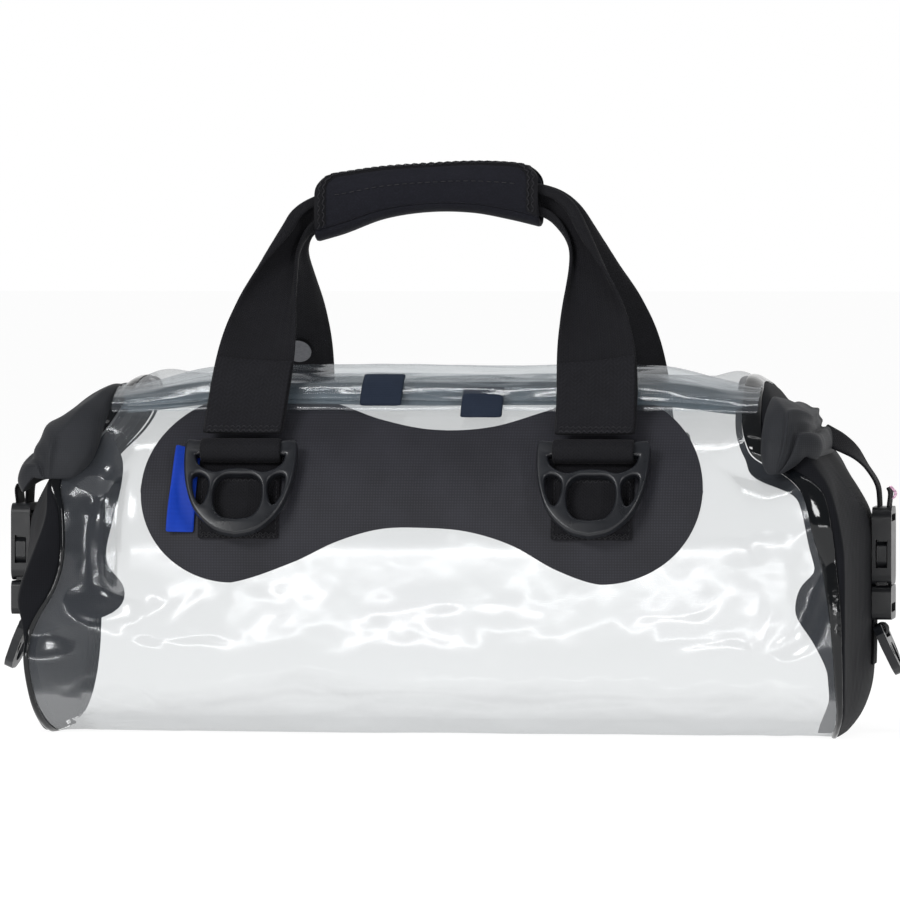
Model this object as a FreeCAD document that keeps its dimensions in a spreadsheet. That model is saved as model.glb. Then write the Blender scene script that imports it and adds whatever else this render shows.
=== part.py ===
"""Clear roll-top dry duffel bag with a joined carry handle, D-rings and end buckles.

Millimetres, +Z up. The bag lies along X and stands on Z = 0. The front is -Y.
The origin is the middle of the footprint.
"""
import FreeCAD
import Part
import math
import os
import Sketcher

DIMENSIONS = {
    # bag shell
    "bag_length": 391.0,          # over both end panels
    "bag_depth": 184.0,           # front face to rear face of the film
    "bag_height": 158.0,          # film body, without the closure roll
    "shoulder_radius": 74.0,      # upper long edges
    "base_radius": 46.0,          # lower long edges
    "end_round": 16.0,            # rounding of the end outline seen from the front
    "film_wall": 0.9,
    "base_half_length": 187.0,    # where the end outline meets the floor
    "end_low": 22.0,              # the end is upright between these two heights
    "end_high": 100.0,
    "crown_half_length": 149.0,   # half length of the flat top
    "weld_low": 182.0,            # weld between film and end panel at the floor
    "weld_high": 143.0,           # the same weld at the top
    # closure
    "roll_length": 290.0,
    "roll_width": 40.0,
    "roll_thickness": 9.0,
    "roll_room_width": 30.0,      # room for the tracks inside the roll
    "roll_room_height": 5.4,
    "roll_angle": 78.0,           # place on the shoulder, from the horizontal
    "track_width": 26.0,
    "track_base": 1.4,
    "rib_height": 1.0,
    "rib_width": 2.2,
    "rib_pitch": 5.2,
    "tab_length": 22.0,
    "tab_width": 14.0,
    "tab_thickness": 1.4,
    "tab_angle": 55.0,
    "tab_spacing": 22.0,          # half distance between the two tabs
    "ear_length": 40.0,
    "ear_width": 56.0,
    "ear_thickness": 8.0,
    "ear_rise": 5.0,              # middle of the ear above the middle of the slope
    # patches and handle hardware, centred a little left of the bag's middle
    "handle_centre": -4.0,
    "ring_spacing": 81.0,         # half distance between the rings of one side
    "patch_thickness": 1.0,
    "lobe_radius": 41.0,
    "lobe_spacing": 86.5,
    "lobe_height": 112.0,
    "waist_low": 94.0,
    "waist_high": 138.0,
    "waist_half_length": 62.0,
    "rear_patch_width": 56.0,     # each rear strap has a small patch of its own
    "rear_patch_low": 82.0,
    "rear_patch_high": 143.0,
    "rear_patch_corner": 12.0,
    "webbing_width": 38.0,
    "webbing_thickness": 1.7,
    "ring_lift": 7.2,             # ring axis above the film
    "ring_angle": 35.4,           # place of the ring axis on the shoulder
    "ring_lean": 26.0,            # how far the hanging ring leans out
    "base_tab_angle": 5.0,       # lower end of the webbing base tab
    # moulded ring
    "ring_width": 50.0,
    "ring_drop": 41.4,            # from the axis to the bottom of the ring
    "ring_thickness": 6.0,
    "ring_hole": 23.2,
    "ring_hole_drop": 23.5,
    "ring_bar": 3.4,              # radius of the bar inside the webbing
    "bar_clearance": 0.4,
    # handle
    "grip_low": 238.0,            # bottom of the folded webbing in the wrap
    "grip_high": 256.0,
    "grip_half_length": 64.0,
    "grip_thickness": 5.0,
    "grip_gap": 0.4,              # half gap between front and rear strap
    "leg_low": 137.2,
    "leg_low_offset": 81.9,
    "leg_mid": 188.0,
    "leg_mid_offset": 46.0,
    "leg_mid_spread": 75.0,
    "leg_mid_width": 34.0,
    "leg_top_spread": 61.0,
    "leg_top_width": 12.0,
    "overlay_top": 172.0,
    "overlay_thickness": 1.2,
    "snap_height": 176.0,
    "snap_diameter": 12.5,
    "snap_thickness": 2.6,
    # wrap around the handle
    "wrap_length": 107.0,
    "wrap_low": 233.4,
    "wrap_high": 262.0,
    "wrap_thickness": 2.8,
    "wrap_half_depth": 9.2,
    "wrap_pinch": 7.0,            # height over which a leaf leans in to the other
    "binding_width": 4.0,
    "binding_proud": 0.7,
    "hook_length": 92.0,
    "hook_height": 4.4,
    # end buckles and rings
    "buckle_width": 27.0,
    "buckle_thickness": 9.0,
    "buckle_gap": 1.9,            # between the end panel and the buckle
    "female_low": 68.0,
    "female_high": 104.0,
    "male_low": 52.0,
    "buckle_wall": 1.6,
    "prong_length": 24.0,
    "prong_width": 3.6,
    "prong_thickness": 4.6,
    "prong_offset": 7.6,
    "prong_barb": 2.0,
    "strap_width": 20.0,
    "strap_thickness": 1.5,
    "end_ring_height": 47.0,      # axis of the end ring
    "end_ring_width": 30.0,
    "end_ring_drop": 22.0,
    "end_ring_thickness": 4.0,
    "end_ring_hole": 11.0,
    "end_ring_hole_drop": 12.6,
    "end_ring_bar": 1.8,
    "end_ring_lean": 24.0,
    "end_ring_reach": 5.2,        # axis of the end ring from the end panel
    # labels
    "label_width": 10.0,
    "label_angle": 28.0,          # how much of the shoulder the label covers
    "label_thickness": 0.6,
    "label_offset": 106.0,        # from the middle of the handle to the label
}


class Size:
    """A length that knows its value and the sheet expression that gives it."""

    def __init__(self, value, text):
        self.value = value
        self.text = text

    def __add__(self, other):
        other = size_of(other)
        return Size(self.value + other.value, f"({self.text} + {other.text})")

    def __sub__(self, other):
        other = size_of(other)
        return Size(self.value - other.value, f"({self.text} - {other.text})")

    def __mul__(self, other):
        other = size_of(other)
        return Size(self.value * other.value, f"({self.text} * {other.text})")

    def __truediv__(self, other):
        other = size_of(other)
        return Size(self.value / other.value, f"({self.text} / {other.text})")

    def __neg__(self):
        return Size(-self.value, f"(0 - {self.text})")

    __radd__ = __add__

    def __rsub__(self, other):
        return size_of(other) - self

    __rmul__ = __mul__


def size_of(item):
    return item if isinstance(item, Size) else Size(float(item), str(float(item)))


def dim(name):
    return Size(DIMENSIONS[name], f"dims.{name}")


def sine(angle):
    return Size(math.sin(math.radians(angle.value)), f"sin({angle.text} * 1 deg)")


def cosine(angle):
    return Size(math.cos(math.radians(angle.value)), f"cos({angle.text} * 1 deg)")


def square_root(size):
    return Size(math.sqrt(size.value), f"sqrt({size.text})")


document = FreeCAD.newDocument("dry_bag")
sheet = document.addObject("Spreadsheet::Sheet", "dims")
for row, (alias, number) in enumerate(DIMENSIONS.items(), start=1):
    sheet.set(f"A{row}", alias)
    sheet.set(f"B{row}", str(number))
    sheet.setAlias(f"B{row}", alias)
document.recompute()

sub_parts = []


def keep(item, label):
    """Names a finished sub-part and lists it for writing."""
    item.Label = label
    sub_parts.append(item)
    return item


def bind(item, name, size):
    item.setExpression(name, size_of(size).text)


def place(item, x=0, y=0, z=0, axis=None, angle=0.0):
    """Puts an object at bound coordinates, turned by a fixed angle about an axis."""
    if axis is not None:
        turn = FreeCAD.Rotation(FreeCAD.Vector(*axis), angle)
        item.Placement = FreeCAD.Placement(FreeCAD.Vector(), turn)
    for name, size in (("x", x), ("y", y), ("z", z)):
        bind(item, f"Placement.Base.{name}", size)
    return item


def new_body(name):
    return document.addObject("PartDesign::Body", name)


def origin_plane(body, role):
    """One of the body's own origin planes or axes."""
    return [feature for feature in body.Origin.OriginFeatures if feature.Role == role][0]


def pin(sketch, curve, point, kind, size):
    """Ties one coordinate of a sketch point to the sheet."""
    if abs(size.value) < 1e-9:
        axis = -2 if kind == "DistanceX" else -1
        sketch.addConstraint(Sketcher.Constraint("PointOnObject", curve, point, axis))
        return
    index = sketch.addConstraint(Sketcher.Constraint(kind, -1, 1, curve, point, size.value))
    bind(sketch, f"Constraints[{index}]", size)


def new_sketch(body, role, outlines=(), circles=(), offset=0):
    """A sketch of closed outlines of corner points and of circles (u, v, radius)."""
    sketch = body.newObject("Sketcher::SketchObject", body.Name + "_sketch")
    sketch.AttachmentSupport = [(origin_plane(body, role), "")]
    sketch.MapMode = "FlatFace"
    bind(sketch, "AttachmentOffset.Base.z", offset)
    for outline in outlines:
        corners = [(size_of(u), size_of(v)) for u, v in outline]
        first = sketch.GeometryCount
        count = len(corners)
        for index, (u, v) in enumerate(corners):
            next_u, next_v = corners[(index + 1) % count]
            start = FreeCAD.Vector(u.value, v.value, 0)
            end = FreeCAD.Vector(next_u.value, next_v.value, 0)
            sketch.addGeometry(Part.LineSegment(start, end), False)
        for index in range(count):
            following = first + (index + 1) % count
            sketch.addConstraint(Sketcher.Constraint("Coincident", first + index, 2, following, 1))
        for index, (u, v) in enumerate(corners):
            pin(sketch, first + index, 1, "DistanceX", u)
            pin(sketch, first + index, 1, "DistanceY", v)
    for u, v, radius in circles:
        u, v, radius = size_of(u), size_of(v), size_of(radius)
        centre = FreeCAD.Vector(u.value, v.value, 0)
        curve = sketch.addGeometry(Part.Circle(centre, FreeCAD.Vector(0, 0, 1), radius.value), False)
        pin(sketch, curve, 3, "DistanceX", u)
        pin(sketch, curve, 3, "DistanceY", v)
        index = sketch.addConstraint(Sketcher.Constraint("Radius", curve, radius.value))
        bind(sketch, f"Constraints[{index}]", radius)
    return sketch


def rectangle(u_low, v_low, u_high, v_high):
    return [(u_low, v_low), (u_high, v_low), (u_high, v_high), (u_low, v_high)]


def pad(body, sketch, length, symmetric=True):
    feature = body.newObject("PartDesign::Pad", body.Name + "_pad")
    feature.Profile = sketch
    bind(feature, "Length", length)
    if symmetric:
        feature.SideType = "Symmetric"
    document.recompute()
    return feature


def pocket(body, sketch, length):
    """Cuts the sketch out on both sides of its plane, and makes sure that it cut."""
    before = body.Shape.Volume
    feature = body.newObject("PartDesign::Pocket", body.Name + "_pocket")
    feature.Profile = sketch
    bind(feature, "Length", length)
    feature.SideType = "Symmetric"
    document.recompute()
    if not body.Shape.Volume < before:
        raise RuntimeError(f"{body.Name}: the pocket cut nothing")
    return feature


def fillet(body, radius, wanted):
    """Rounds the edges of the body's tip for which wanted(edge) is true."""
    base = body.Tip
    names = [f"Edge{index}" for index, edge in enumerate(base.Shape.Edges, start=1) if wanted(edge)]
    feature = body.newObject("PartDesign::Fillet", body.Name + "_fillet")
    feature.Base = (base, names)
    bind(feature, "Radius", radius)
    document.recompute()
    return feature


def runs_along(edge, axis):
    """True for a straight edge parallel to the x, y or z axis."""
    if edge.Curve.TypeId != "Part::GeomLine":
        return False
    return abs(getattr(edge.Curve.Direction, axis)) > 0.999


def centre_of(edge):
    return edge.BoundBox.Center


def boolean(kind, name, base, tool):
    item = document.addObject("Part::" + kind, name)
    item.Base = base
    item.Tool = tool
    document.recompute()
    return item


# ---------------------------------------------------------------- bag shell

half_length = dim("bag_length") / 2
half_depth = dim("bag_depth") / 2
SIDES = {"front": -1, "rear": 1}
ENDS = {"left": -1, "right": 1}


def bag_form(name, inset):
    """The closed outer form of the bag, drawn in by inset: cross-section times end outline."""
    inset = size_of(inset)
    bar = new_body(name + "_bar")
    depth = half_depth - inset
    section = new_sketch(bar, "YZ_Plane", [rectangle(-depth, inset, depth, dim("bag_height") - inset)])
    pad(bar, section, dim("bag_length") + 20)
    middle = DIMENSIONS["bag_height"] / 2
    fillet(bar, dim("shoulder_radius") - inset,
           lambda edge: runs_along(edge, "x") and centre_of(edge).z > middle)
    fillet(bar, dim("base_radius") - inset,
           lambda edge: runs_along(edge, "x") and centre_of(edge).z < middle)
    outline_body = new_body(name + "_outline")
    right = [
        (dim("base_half_length") - inset, inset),
        (half_length - inset, dim("end_low")),
        (half_length - inset, dim("end_high")),
        (dim("crown_half_length") - inset, dim("bag_height") - inset),
    ]
    left = [(-u, v) for u, v in reversed(right)]
    outline = new_sketch(outline_body, "XZ_Plane", [right + left])
    pad(outline_body, outline, dim("bag_depth") + 20)
    above_floor = inset.value + 1
    round_size = dim("end_round")
    fillet(outline_body, round_size, lambda edge: runs_along(edge, "y") and centre_of(edge).z > above_floor)
    return boolean("Common", name, bar, outline_body)


outer_form = bag_form("outer_form", 0)
inner_form = bag_form("inner_form", dim("film_wall"))
bag_shell = boolean("Cut", "bag_shell", outer_form, inner_form)


def film_zone():
    """The stretch of the shell that is clear film, between the slanted welds."""
    body = new_body("film_zone")
    corners = [
        (dim("weld_low"), -5),
        (dim("weld_high"), dim("bag_height") + 5),
        (-dim("weld_high"), dim("bag_height") + 5),
        (-dim("weld_low"), -5),
    ]
    pad(body, new_sketch(body, "XZ_Plane", [corners]), dim("bag_depth") + 40)
    return body


def half_space(end, side):
    body = new_body(end + "_half")
    far = (half_length + 20) * side
    outline = [rectangle(0, -10, far, dim("bag_height") + 20)]
    pad(body, new_sketch(body, "XZ_Plane", outline), dim("bag_depth") + 40)
    return body


zone = film_zone()
keep(boolean("Common", "clear_body", bag_shell, zone), "clear_body")
end_shells = boolean("Cut", "end_shells", bag_shell, zone)
for end, side in ENDS.items():
    keep(boolean("Common", end + "_end_panel", end_shells, half_space(end, side)), end + "_end_panel")


# ------------------------------------------------------------------ closure

shoulder_y = half_depth - dim("shoulder_radius")
shoulder_z = dim("bag_height") - dim("shoulder_radius")


def on_shoulder(item, angle, lift, side, x=0, turn=None):
    """Places an object on the shoulder: its own +Z points along the outward normal.

    The angle is measured from the horizontal, the lift from the film.
    """
    reach = dim("shoulder_radius") + lift
    tilt = (90.0 - angle.value) * -side if turn is None else turn
    return place(
        item,
        x=x,
        y=(shoulder_y + reach * cosine(angle)) * side,
        z=shoulder_z + reach * sine(angle),
        axis=(1, 0, 0),
        angle=tilt,
    )


def closure_roll():
    """Film lips rolled down over the closed tracks: a flattened tube of film layers."""
    body = new_body("closure_roll")
    width = dim("roll_width") / 2
    height = dim("roll_thickness") / 2
    outline = [rectangle(-width, -height, width, height)]
    pad(body, new_sketch(body, "YZ_Plane", outline), dim("roll_length"))
    fillet(body, height - 0.2, lambda edge: runs_along(edge, "x"))
    room = dim("roll_room_width") / 2
    room_height = dim("roll_room_height") / 2
    cut = new_sketch(body, "YZ_Plane", [rectangle(-room, -room_height, room, room_height)])
    pocket(body, cut, dim("roll_length") + 2)
    return body


def closure_track(name, ribbed):
    """A flat tape along the roll, with three ribs or the three grooves that take them."""
    body = new_body(name)
    half = dim("track_width") / 2
    base = dim("track_base")
    play = size_of(0.0 if ribbed else 0.12)
    rib = dim("rib_width") / 2 + play
    top = base + dim("rib_height")
    edge_height = base if ribbed else top
    outline = [(-half, 0), (half, 0), (half, edge_height)]
    for step in (1, 0, -1):
        centre = dim("rib_pitch") * step
        low, high = (base, top) if ribbed else (top, base - play)
        outline += [(centre + rib, low), (centre + rib, high), (centre - rib, high), (centre - rib, low)]
    outline.append((-half, edge_height))
    pad(body, new_sketch(body, "YZ_Plane", [outline]), dim("roll_length"))
    return body


roll_lift = dim("roll_thickness") / 2 + dim("patch_thickness") + 0.2
on_shoulder(keep(closure_roll(), "closure_roll"), dim("roll_angle"), roll_lift, -1)
room_floor = dim("roll_room_height") / 2
ribbed_track = keep(closure_track("closure_track_rear", True), "closure_track_rear")
on_shoulder(ribbed_track, dim("roll_angle"), roll_lift - room_floor + 0.1, -1)
grooved_track = keep(closure_track("closure_track_front", False), "closure_track_front")
stack = dim("track_base") * 2 + dim("rib_height") + 0.15
on_shoulder(
    grooved_track, dim("roll_angle"), roll_lift - room_floor + 0.1 + stack, -1,
    turn=180.0 + 90.0 - DIMENSIONS["roll_angle"],
)


def pull_tab(name, x):
    """A stiff tab in front of the roll, by which one track is pulled off the other."""
    body = new_body(name)
    half = dim("tab_length") / 2
    width = dim("tab_width") / 2
    pad(body, new_sketch(body, "XY_Plane", [rectangle(-half, -width, half, width)]), dim("tab_thickness"))
    fillet(body, size_of(3.0), lambda edge: runs_along(edge, "z"))
    return on_shoulder(keep(body, name), dim("tab_angle"), size_of(1.9), -1, x=x)


pull_tab("front_pull_tab", dim("handle_centre") - dim("tab_spacing"))
pull_tab("rear_pull_tab", dim("handle_centre") + dim("tab_spacing"))

slope_run = half_length - dim("crown_half_length")
slope_rise = dim("bag_height") - dim("end_high")
slope_length = square_root(slope_run * slope_run + slope_rise * slope_rise)
slope_angle = math.degrees(math.atan2(slope_rise.value, slope_run.value))
ear_lift = 0.3


def on_slope(distance, lift):
    """Point (x, z) on the slanted top of the right end panel: distance up it from its middle."""
    along_x = slope_run / slope_length
    along_z = slope_rise / slope_length
    x = half_length - slope_run / 2 - along_x * distance + along_z * lift
    z = dim("end_high") + slope_rise / 2 + along_z * distance + along_x * lift
    return x, z


def folded_ear(end, side):
    """The end of the closure roll in black fabric, folded down over the slanted end panel."""
    body = new_body(end + "_folded_ear")
    length = dim("ear_length") / 2
    width = dim("ear_width") / 2
    thickness = dim("ear_thickness")
    pad(body, new_sketch(body, "XY_Plane", [rectangle(-length, -width, length, width)]), thickness)
    fillet(body, size_of(14.0), lambda edge: runs_along(edge, "z"))
    fillet(body, size_of(3.0), lambda edge: centre_of(edge).z > thickness.value / 2 - 0.1)
    x, z = on_slope(dim("ear_rise"), thickness / 2 + ear_lift)
    ear = keep(body, end + "_folded_ear")
    place(ear, x=x * side, y=-4.0, z=z, axis=(0, 1, 0), angle=slope_angle * side)


for end, side in ENDS.items():
    folded_ear(end, side)


# ------------------------------------------------- patches, anchors and rings

patch_layer = boolean("Cut", "patch_layer", bag_form("patch_form", -dim("patch_thickness")), outer_form)


def patch_outline(name, side):
    """Dog-bone prism on one side of the bag: two round lobes and a waist."""
    body = new_body(name + "_outline")
    centre = dim("handle_centre")
    waist = dim("waist_half_length")
    reach = waist + 8
    corners = [
        (centre - reach, dim("lobe_height") - dim("lobe_radius") + 12),
        (centre - waist / 3, dim("waist_low")),
        (centre + waist / 3, dim("waist_low")),
        (centre + reach, dim("lobe_height") - dim("lobe_radius") + 12),
        (centre + reach, dim("lobe_height") + dim("lobe_radius") - 4),
        (centre + waist / 3, dim("waist_high")),
        (centre - waist / 3, dim("waist_high")),
        (centre - reach, dim("lobe_height") + dim("lobe_radius") - 4),
    ]
    depth = half_depth + 10
    offset = -side * depth / 2
    pad(body, new_sketch(body, "XZ_Plane", [corners], offset=offset), depth)
    for place_x in (-1, 1):
        lobe = (centre + dim("lobe_spacing") * place_x, dim("lobe_height"), dim("lobe_radius"))
        pad(body, new_sketch(body, "XZ_Plane", circles=[lobe], offset=offset), depth)
    return body


def small_patch_outline(name, side, x):
    """Rounded rectangular prism on one side of the bag, centred on a strap."""
    body = new_body(name + "_outline")
    half = dim("rear_patch_width") / 2
    depth = half_depth + 10
    corners = rectangle(x - half, dim("rear_patch_low"), x + half, dim("rear_patch_high"))
    pad(body, new_sketch(body, "XZ_Plane", [corners], offset=-side * depth / 2), depth)
    fillet(body, dim("rear_patch_corner"), lambda edge: runs_along(edge, "y"))
    return body


keep(boolean("Common", "front_patch", patch_layer, patch_outline("front_patch", -1)), "front_patch")
for end, x_side in ENDS.items():
    name = f"rear_{end}_patch"
    x = dim("handle_centre") + dim("ring_spacing") * x_side
    keep(boolean("Common", name, patch_layer, small_patch_outline(name, 1, x)), name)


def curved_strip(body, side, width, inner, thickness, sweep):
    """A strip that follows the shoulder from the body's -Y, about the shoulder's axis."""
    strip = body.newObject("PartDesign::Revolution", body.Name + "_strip")
    corners = rectangle(-width / 2, -(inner + thickness), width / 2, -inner)
    strip.Profile = new_sketch(body, "XY_Plane", [corners])
    strip.ReferenceAxis = (origin_plane(body, "X_Axis"), [""])
    strip.Reversed = side > 0
    bind(strip, "Angle", sweep)
    document.recompute()
    return strip


def webbing_anchor(name, side, x):
    """Base tab curved over the patch, and the webbing roll that holds the ring's bar.

    The body's origin lies on the shoulder's axis and its -Y points to the ring axis.
    """
    body = new_body(name)
    inner = dim("shoulder_radius") + dim("patch_thickness") + 0.05
    sweep = dim("ring_angle") - dim("base_tab_angle")
    curved_strip(body, side, dim("webbing_width"), inner, dim("webbing_thickness"), sweep)
    reach = dim("shoulder_radius") + dim("ring_lift")
    bore = dim("ring_bar") + dim("bar_clearance")
    roll = bore + dim("webbing_thickness")
    pad(body, new_sketch(body, "YZ_Plane", circles=[(-reach, 0, roll)]), dim("webbing_width"))
    pocket(body, new_sketch(body, "YZ_Plane", circles=[(-reach, 0, bore)]), dim("webbing_width") + 2)
    return body


def place_on_shoulder_axis(item, side, x, angle):
    """Turns an object about the shoulder's axis, from pointing at -Y."""
    if side < 0:
        rotation = FreeCAD.Rotation(FreeCAD.Vector(1, 0, 0), -angle)
    else:
        rotation = FreeCAD.Rotation(FreeCAD.Vector(1, 0, 0), 180.0 + angle)
    item.Placement = FreeCAD.Placement(FreeCAD.Vector(), rotation)
    bind(item, "Placement.Base.x", x)
    bind(item, "Placement.Base.y", shoulder_y * side)
    bind(item, "Placement.Base.z", shoulder_z)


def moulded_ring(name, width, drop, thickness, hole, hole_drop, bar, webbing):
    """Shield-shaped ring: bar between two arms, crossbar, round hole, two side windows.

    The bar's axis is the body's X axis and the ring hangs down -Z.
    """
    body = new_body(name)
    half = width / 2
    neck = webbing / 2 + 0.5
    arm_top = bar * 1.25
    right = [
        (neck, arm_top),
        (half * 0.92, arm_top),
        (half, -bar),
        (half * 0.97, -(hole_drop * 0.62)),
        (half * 0.66, -(drop * 0.84)),
        (half * 0.34, -drop),
    ]
    roll = bar + dim("bar_clearance") + dim("webbing_thickness") + 0.5
    left = [(-u, v) for u, v in reversed(right)]
    notch = [(-neck, -roll), (neck, -roll)]
    pad(body, new_sketch(body, "XZ_Plane", [right + left + notch]), thickness)
    shoulder = (half * 0.92 - neck) * 0.4
    fillet(body, shoulder, lambda edge: runs_along(edge, "y") and centre_of(edge).z > bar.value)
    tip = -drop.value * 0.7
    fillet(body, half * 0.4, lambda edge: runs_along(edge, "y") and centre_of(edge).z < tip)
    pocket(body, new_sketch(body, "XZ_Plane", circles=[(0, -hole_drop, hole / 2)]), thickness + 2)
    rim = hole * 0.11
    for side in (-1, 1):
        window = [
            ((half * 0.62) * side, -(hole_drop - hole * 0.40)),
            ((half * 0.80) * side, -(hole_drop - hole * 0.40)),
            ((half * 0.77) * side, -(hole_drop - hole * 0.08)),
            ((hole / 2 + rim) * side, -(hole_drop + hole * 0.16)),
        ]
        pocket(body, new_sketch(body, "XZ_Plane", [window]), thickness + 2)
    pad(body, new_sketch(body, "YZ_Plane", circles=[(0, 0, bar)]), webbing + 3)
    return body


ring_reach = dim("shoulder_radius") + dim("ring_lift")
ring_y = shoulder_y + ring_reach * cosine(dim("ring_angle"))
ring_z = shoulder_z + ring_reach * sine(dim("ring_angle"))
for side_name, side in SIDES.items():
    for end, x_side in ENDS.items():
        spot = f"{side_name}_{end}"
        x = dim("handle_centre") + dim("ring_spacing") * x_side
        anchor = keep(webbing_anchor(spot + "_anchor", side, x), spot + "_anchor")
        place_on_shoulder_axis(anchor, side, x, DIMENSIONS["ring_angle"])
        ring = moulded_ring(
            spot + "_ring", dim("ring_width"), dim("ring_drop"), dim("ring_thickness"),
            dim("ring_hole"), dim("ring_hole_drop"), dim("ring_bar"), dim("webbing_width"),
        )
        place(keep(ring, spot + "_ring"), x=x, y=ring_y * side, z=ring_z,
              axis=(1, 0, 0), angle=DIMENSIONS["ring_lean"] * side)


# ------------------------------------------------------------------- handle

def loft(body, sections):
    feature = body.newObject("PartDesign::AdditiveLoft", body.Name + "_loft")
    feature.Profile = sections[0]
    feature.Sections = sections[1:]
    feature.Ruled = True
    document.recompute()
    return feature


def leg_section(body, side, height, x, y, width, thickness):
    return new_sketch(
        body, "XY_Plane",
        [rectangle(x - width / 2, y * side - thickness / 2, x + width / 2, y * side + thickness / 2)],
        offset=height,
    )


def handle_strap(side_name, side):
    """One length of webbing: two flat legs, folded lengthwise where the wrap holds it."""
    name = side_name + "_handle_strap"
    body = new_body(name)
    centre = dim("handle_centre")
    half = dim("grip_half_length")
    near = dim("grip_gap") * side
    far = (dim("grip_gap") + dim("grip_thickness")) * side
    pad_height = dim("grip_high") - dim("grip_low")
    middle = (near + far) / 2
    run = [rectangle(centre - half, near, centre + half, far)]
    middle_height = (dim("grip_high") + dim("grip_low")) / 2
    pad(body, new_sketch(body, "XY_Plane", run, offset=middle_height), pad_height)
    flat = dim("webbing_thickness") * 1.3
    for x_side in ENDS.values():
        loft(body, [
            leg_section(body, side, dim("leg_low"), centre + dim("ring_spacing") * x_side,
                        dim("leg_low_offset"), dim("webbing_width"), flat),
            leg_section(body, side, dim("leg_mid"), centre + dim("leg_mid_spread") * x_side,
                        dim("leg_mid_offset"), dim("leg_mid_width"), flat),
            leg_section(body, side, dim("grip_high") - 6, centre + dim("leg_top_spread") * x_side,
                        middle * side, dim("leg_top_width"), dim("grip_thickness")),
        ])
    return keep(body, name)


def leg_line(height):
    """Distance of the strap's leg from the middle plane at a height under leg_mid."""
    share = (height - dim("leg_low")) / (dim("leg_mid") - dim("leg_low"))
    return dim("leg_low_offset") - share * (dim("leg_low_offset") - dim("leg_mid_offset"))


def leg_spread(height):
    share = (height - dim("leg_low")) / (dim("leg_mid") - dim("leg_low"))
    return dim("ring_spacing") - share * (dim("ring_spacing") - dim("leg_mid_spread"))


def strap_overlay(spot, side, x_side):
    """A second layer of webbing sewn on the outer face of a leg."""
    name = spot + "_strap_overlay"
    body = new_body(name)
    flat = dim("webbing_thickness") * 1.3
    sections = []
    for height in (dim("leg_low") + 3.6, dim("overlay_top")):
        outward = leg_line(height) + flat / 2 + dim("overlay_thickness") / 2 + 0.1
        x = dim("handle_centre") + leg_spread(height) * x_side
        sections.append(leg_section(body, side, height, x, outward,
                                    dim("webbing_width") - 4, dim("overlay_thickness")))
    loft(body, sections)
    return keep(body, name)


lean_run = DIMENSIONS["leg_low_offset"] - DIMENSIONS["leg_mid_offset"]
lean_rise = DIMENSIONS["leg_mid"] - DIMENSIONS["leg_low"]
leg_lean = math.degrees(math.atan2(lean_run, lean_rise))


def strap_snaps(side_name, side):
    """Two round metal snap caps on the inner face of the legs."""
    name = side_name + "_strap_snaps"
    caps = []
    for x_side in ENDS.values():
        cap = document.addObject("Part::Cylinder", f"{name}_cap")
        bind(cap, "Radius", dim("snap_diameter") / 2)
        bind(cap, "Height", dim("snap_thickness"))
        height = dim("snap_height")
        inward = leg_line(height) - dim("webbing_thickness") * 0.9 - 0.4
        place(
            cap,
            x=dim("handle_centre") + leg_spread(height) * x_side,
            y=inward * side,
            z=height,
            axis=(1, 0, 0),
            angle=(90.0 + leg_lean) * side,
        )
        caps.append(cap)
    group = document.addObject("Part::Compound", name)
    group.Links = caps
    document.recompute()
    return keep(group, name)


for side_name, side in SIDES.items():
    handle_strap(side_name, side)
    for end, x_side in ENDS.items():
        strap_overlay(f"{side_name}_{end}", side, x_side)
    strap_snaps(side_name, side)


def wrap_leaf(name, side, with_fold):
    """One leaf of the neoprene wrap; the rear leaf carries the fold under the webbing."""
    body = new_body(name)
    depth = dim("wrap_half_depth")
    thickness = dim("wrap_thickness")
    low = dim("wrap_low")
    high = dim("wrap_high")
    joint = low + thickness + 1.2
    pinch = size_of(2.4)
    outline = [
        (depth * side, joint),
        (depth * side, high - dim("wrap_pinch")),
        ((pinch + thickness) * side, high),
        (pinch * side, high),
        ((depth - thickness) * side, high - dim("wrap_pinch")),
        ((depth - thickness) * side, joint),
    ]
    if with_fold:
        outline = outline[:5] + [
            ((depth - thickness) * side, low + thickness),
            (-(depth - 0.4) * side, low + thickness),
            (-(depth - 0.4) * side, low),
            ((depth - 1.5) * side, low),
            (depth * side, low + 1.5),
        ]
    pad(body, new_sketch(body, "YZ_Plane", [outline]), dim("wrap_length"))
    document.recompute()
    place(keep(body, name), x=dim("handle_centre"))
    return body


def wrap_binding(name, side):
    """Folded edge tape over the top of a leaf and down both its ends."""
    body = new_body(name)
    depth = dim("wrap_half_depth")
    length = dim("wrap_length") / 2
    width = dim("binding_width")
    proud = dim("binding_proud")
    low = dim("wrap_low") + dim("wrap_thickness") + 1.2
    high = dim("wrap_high") - dim("wrap_pinch")
    inner = length - width
    outline = [
        (-length, low), (-inner, low), (-inner, high - width), (inner, high - width),
        (inner, low), (length, low), (length, high), (-length, high),
    ]
    offset = -side * (depth + proud / 2)
    pad(body, new_sketch(body, "XZ_Plane", [outline], offset=offset), proud)
    place(keep(body, name), x=dim("handle_centre"))
    return body


def closing_strip(name, side):
    """Hook or loop strip along the top edge of a leaf, facing the other leaf."""
    body = new_body(name)
    half = dim("hook_length") / 2
    top = dim("wrap_high") - 0.2
    low = top - dim("hook_height")
    depth = size_of(2.3)
    offset = -side * (depth / 2 + 0.05)
    pad(body, new_sketch(body, "XZ_Plane", [rectangle(-half, low, half, top)], offset=offset), depth - 0.2)
    place(keep(body, name), x=dim("handle_centre"))
    return body


wrap_leaf("wrap_rear_leaf", 1, True)
wrap_leaf("wrap_front_leaf", -1, False)
wrap_binding("wrap_rear_binding", 1)
wrap_binding("wrap_front_binding", -1)
closing_strip("wrap_loop_strip", 1)
closing_strip("wrap_hook_strip", -1)


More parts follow.
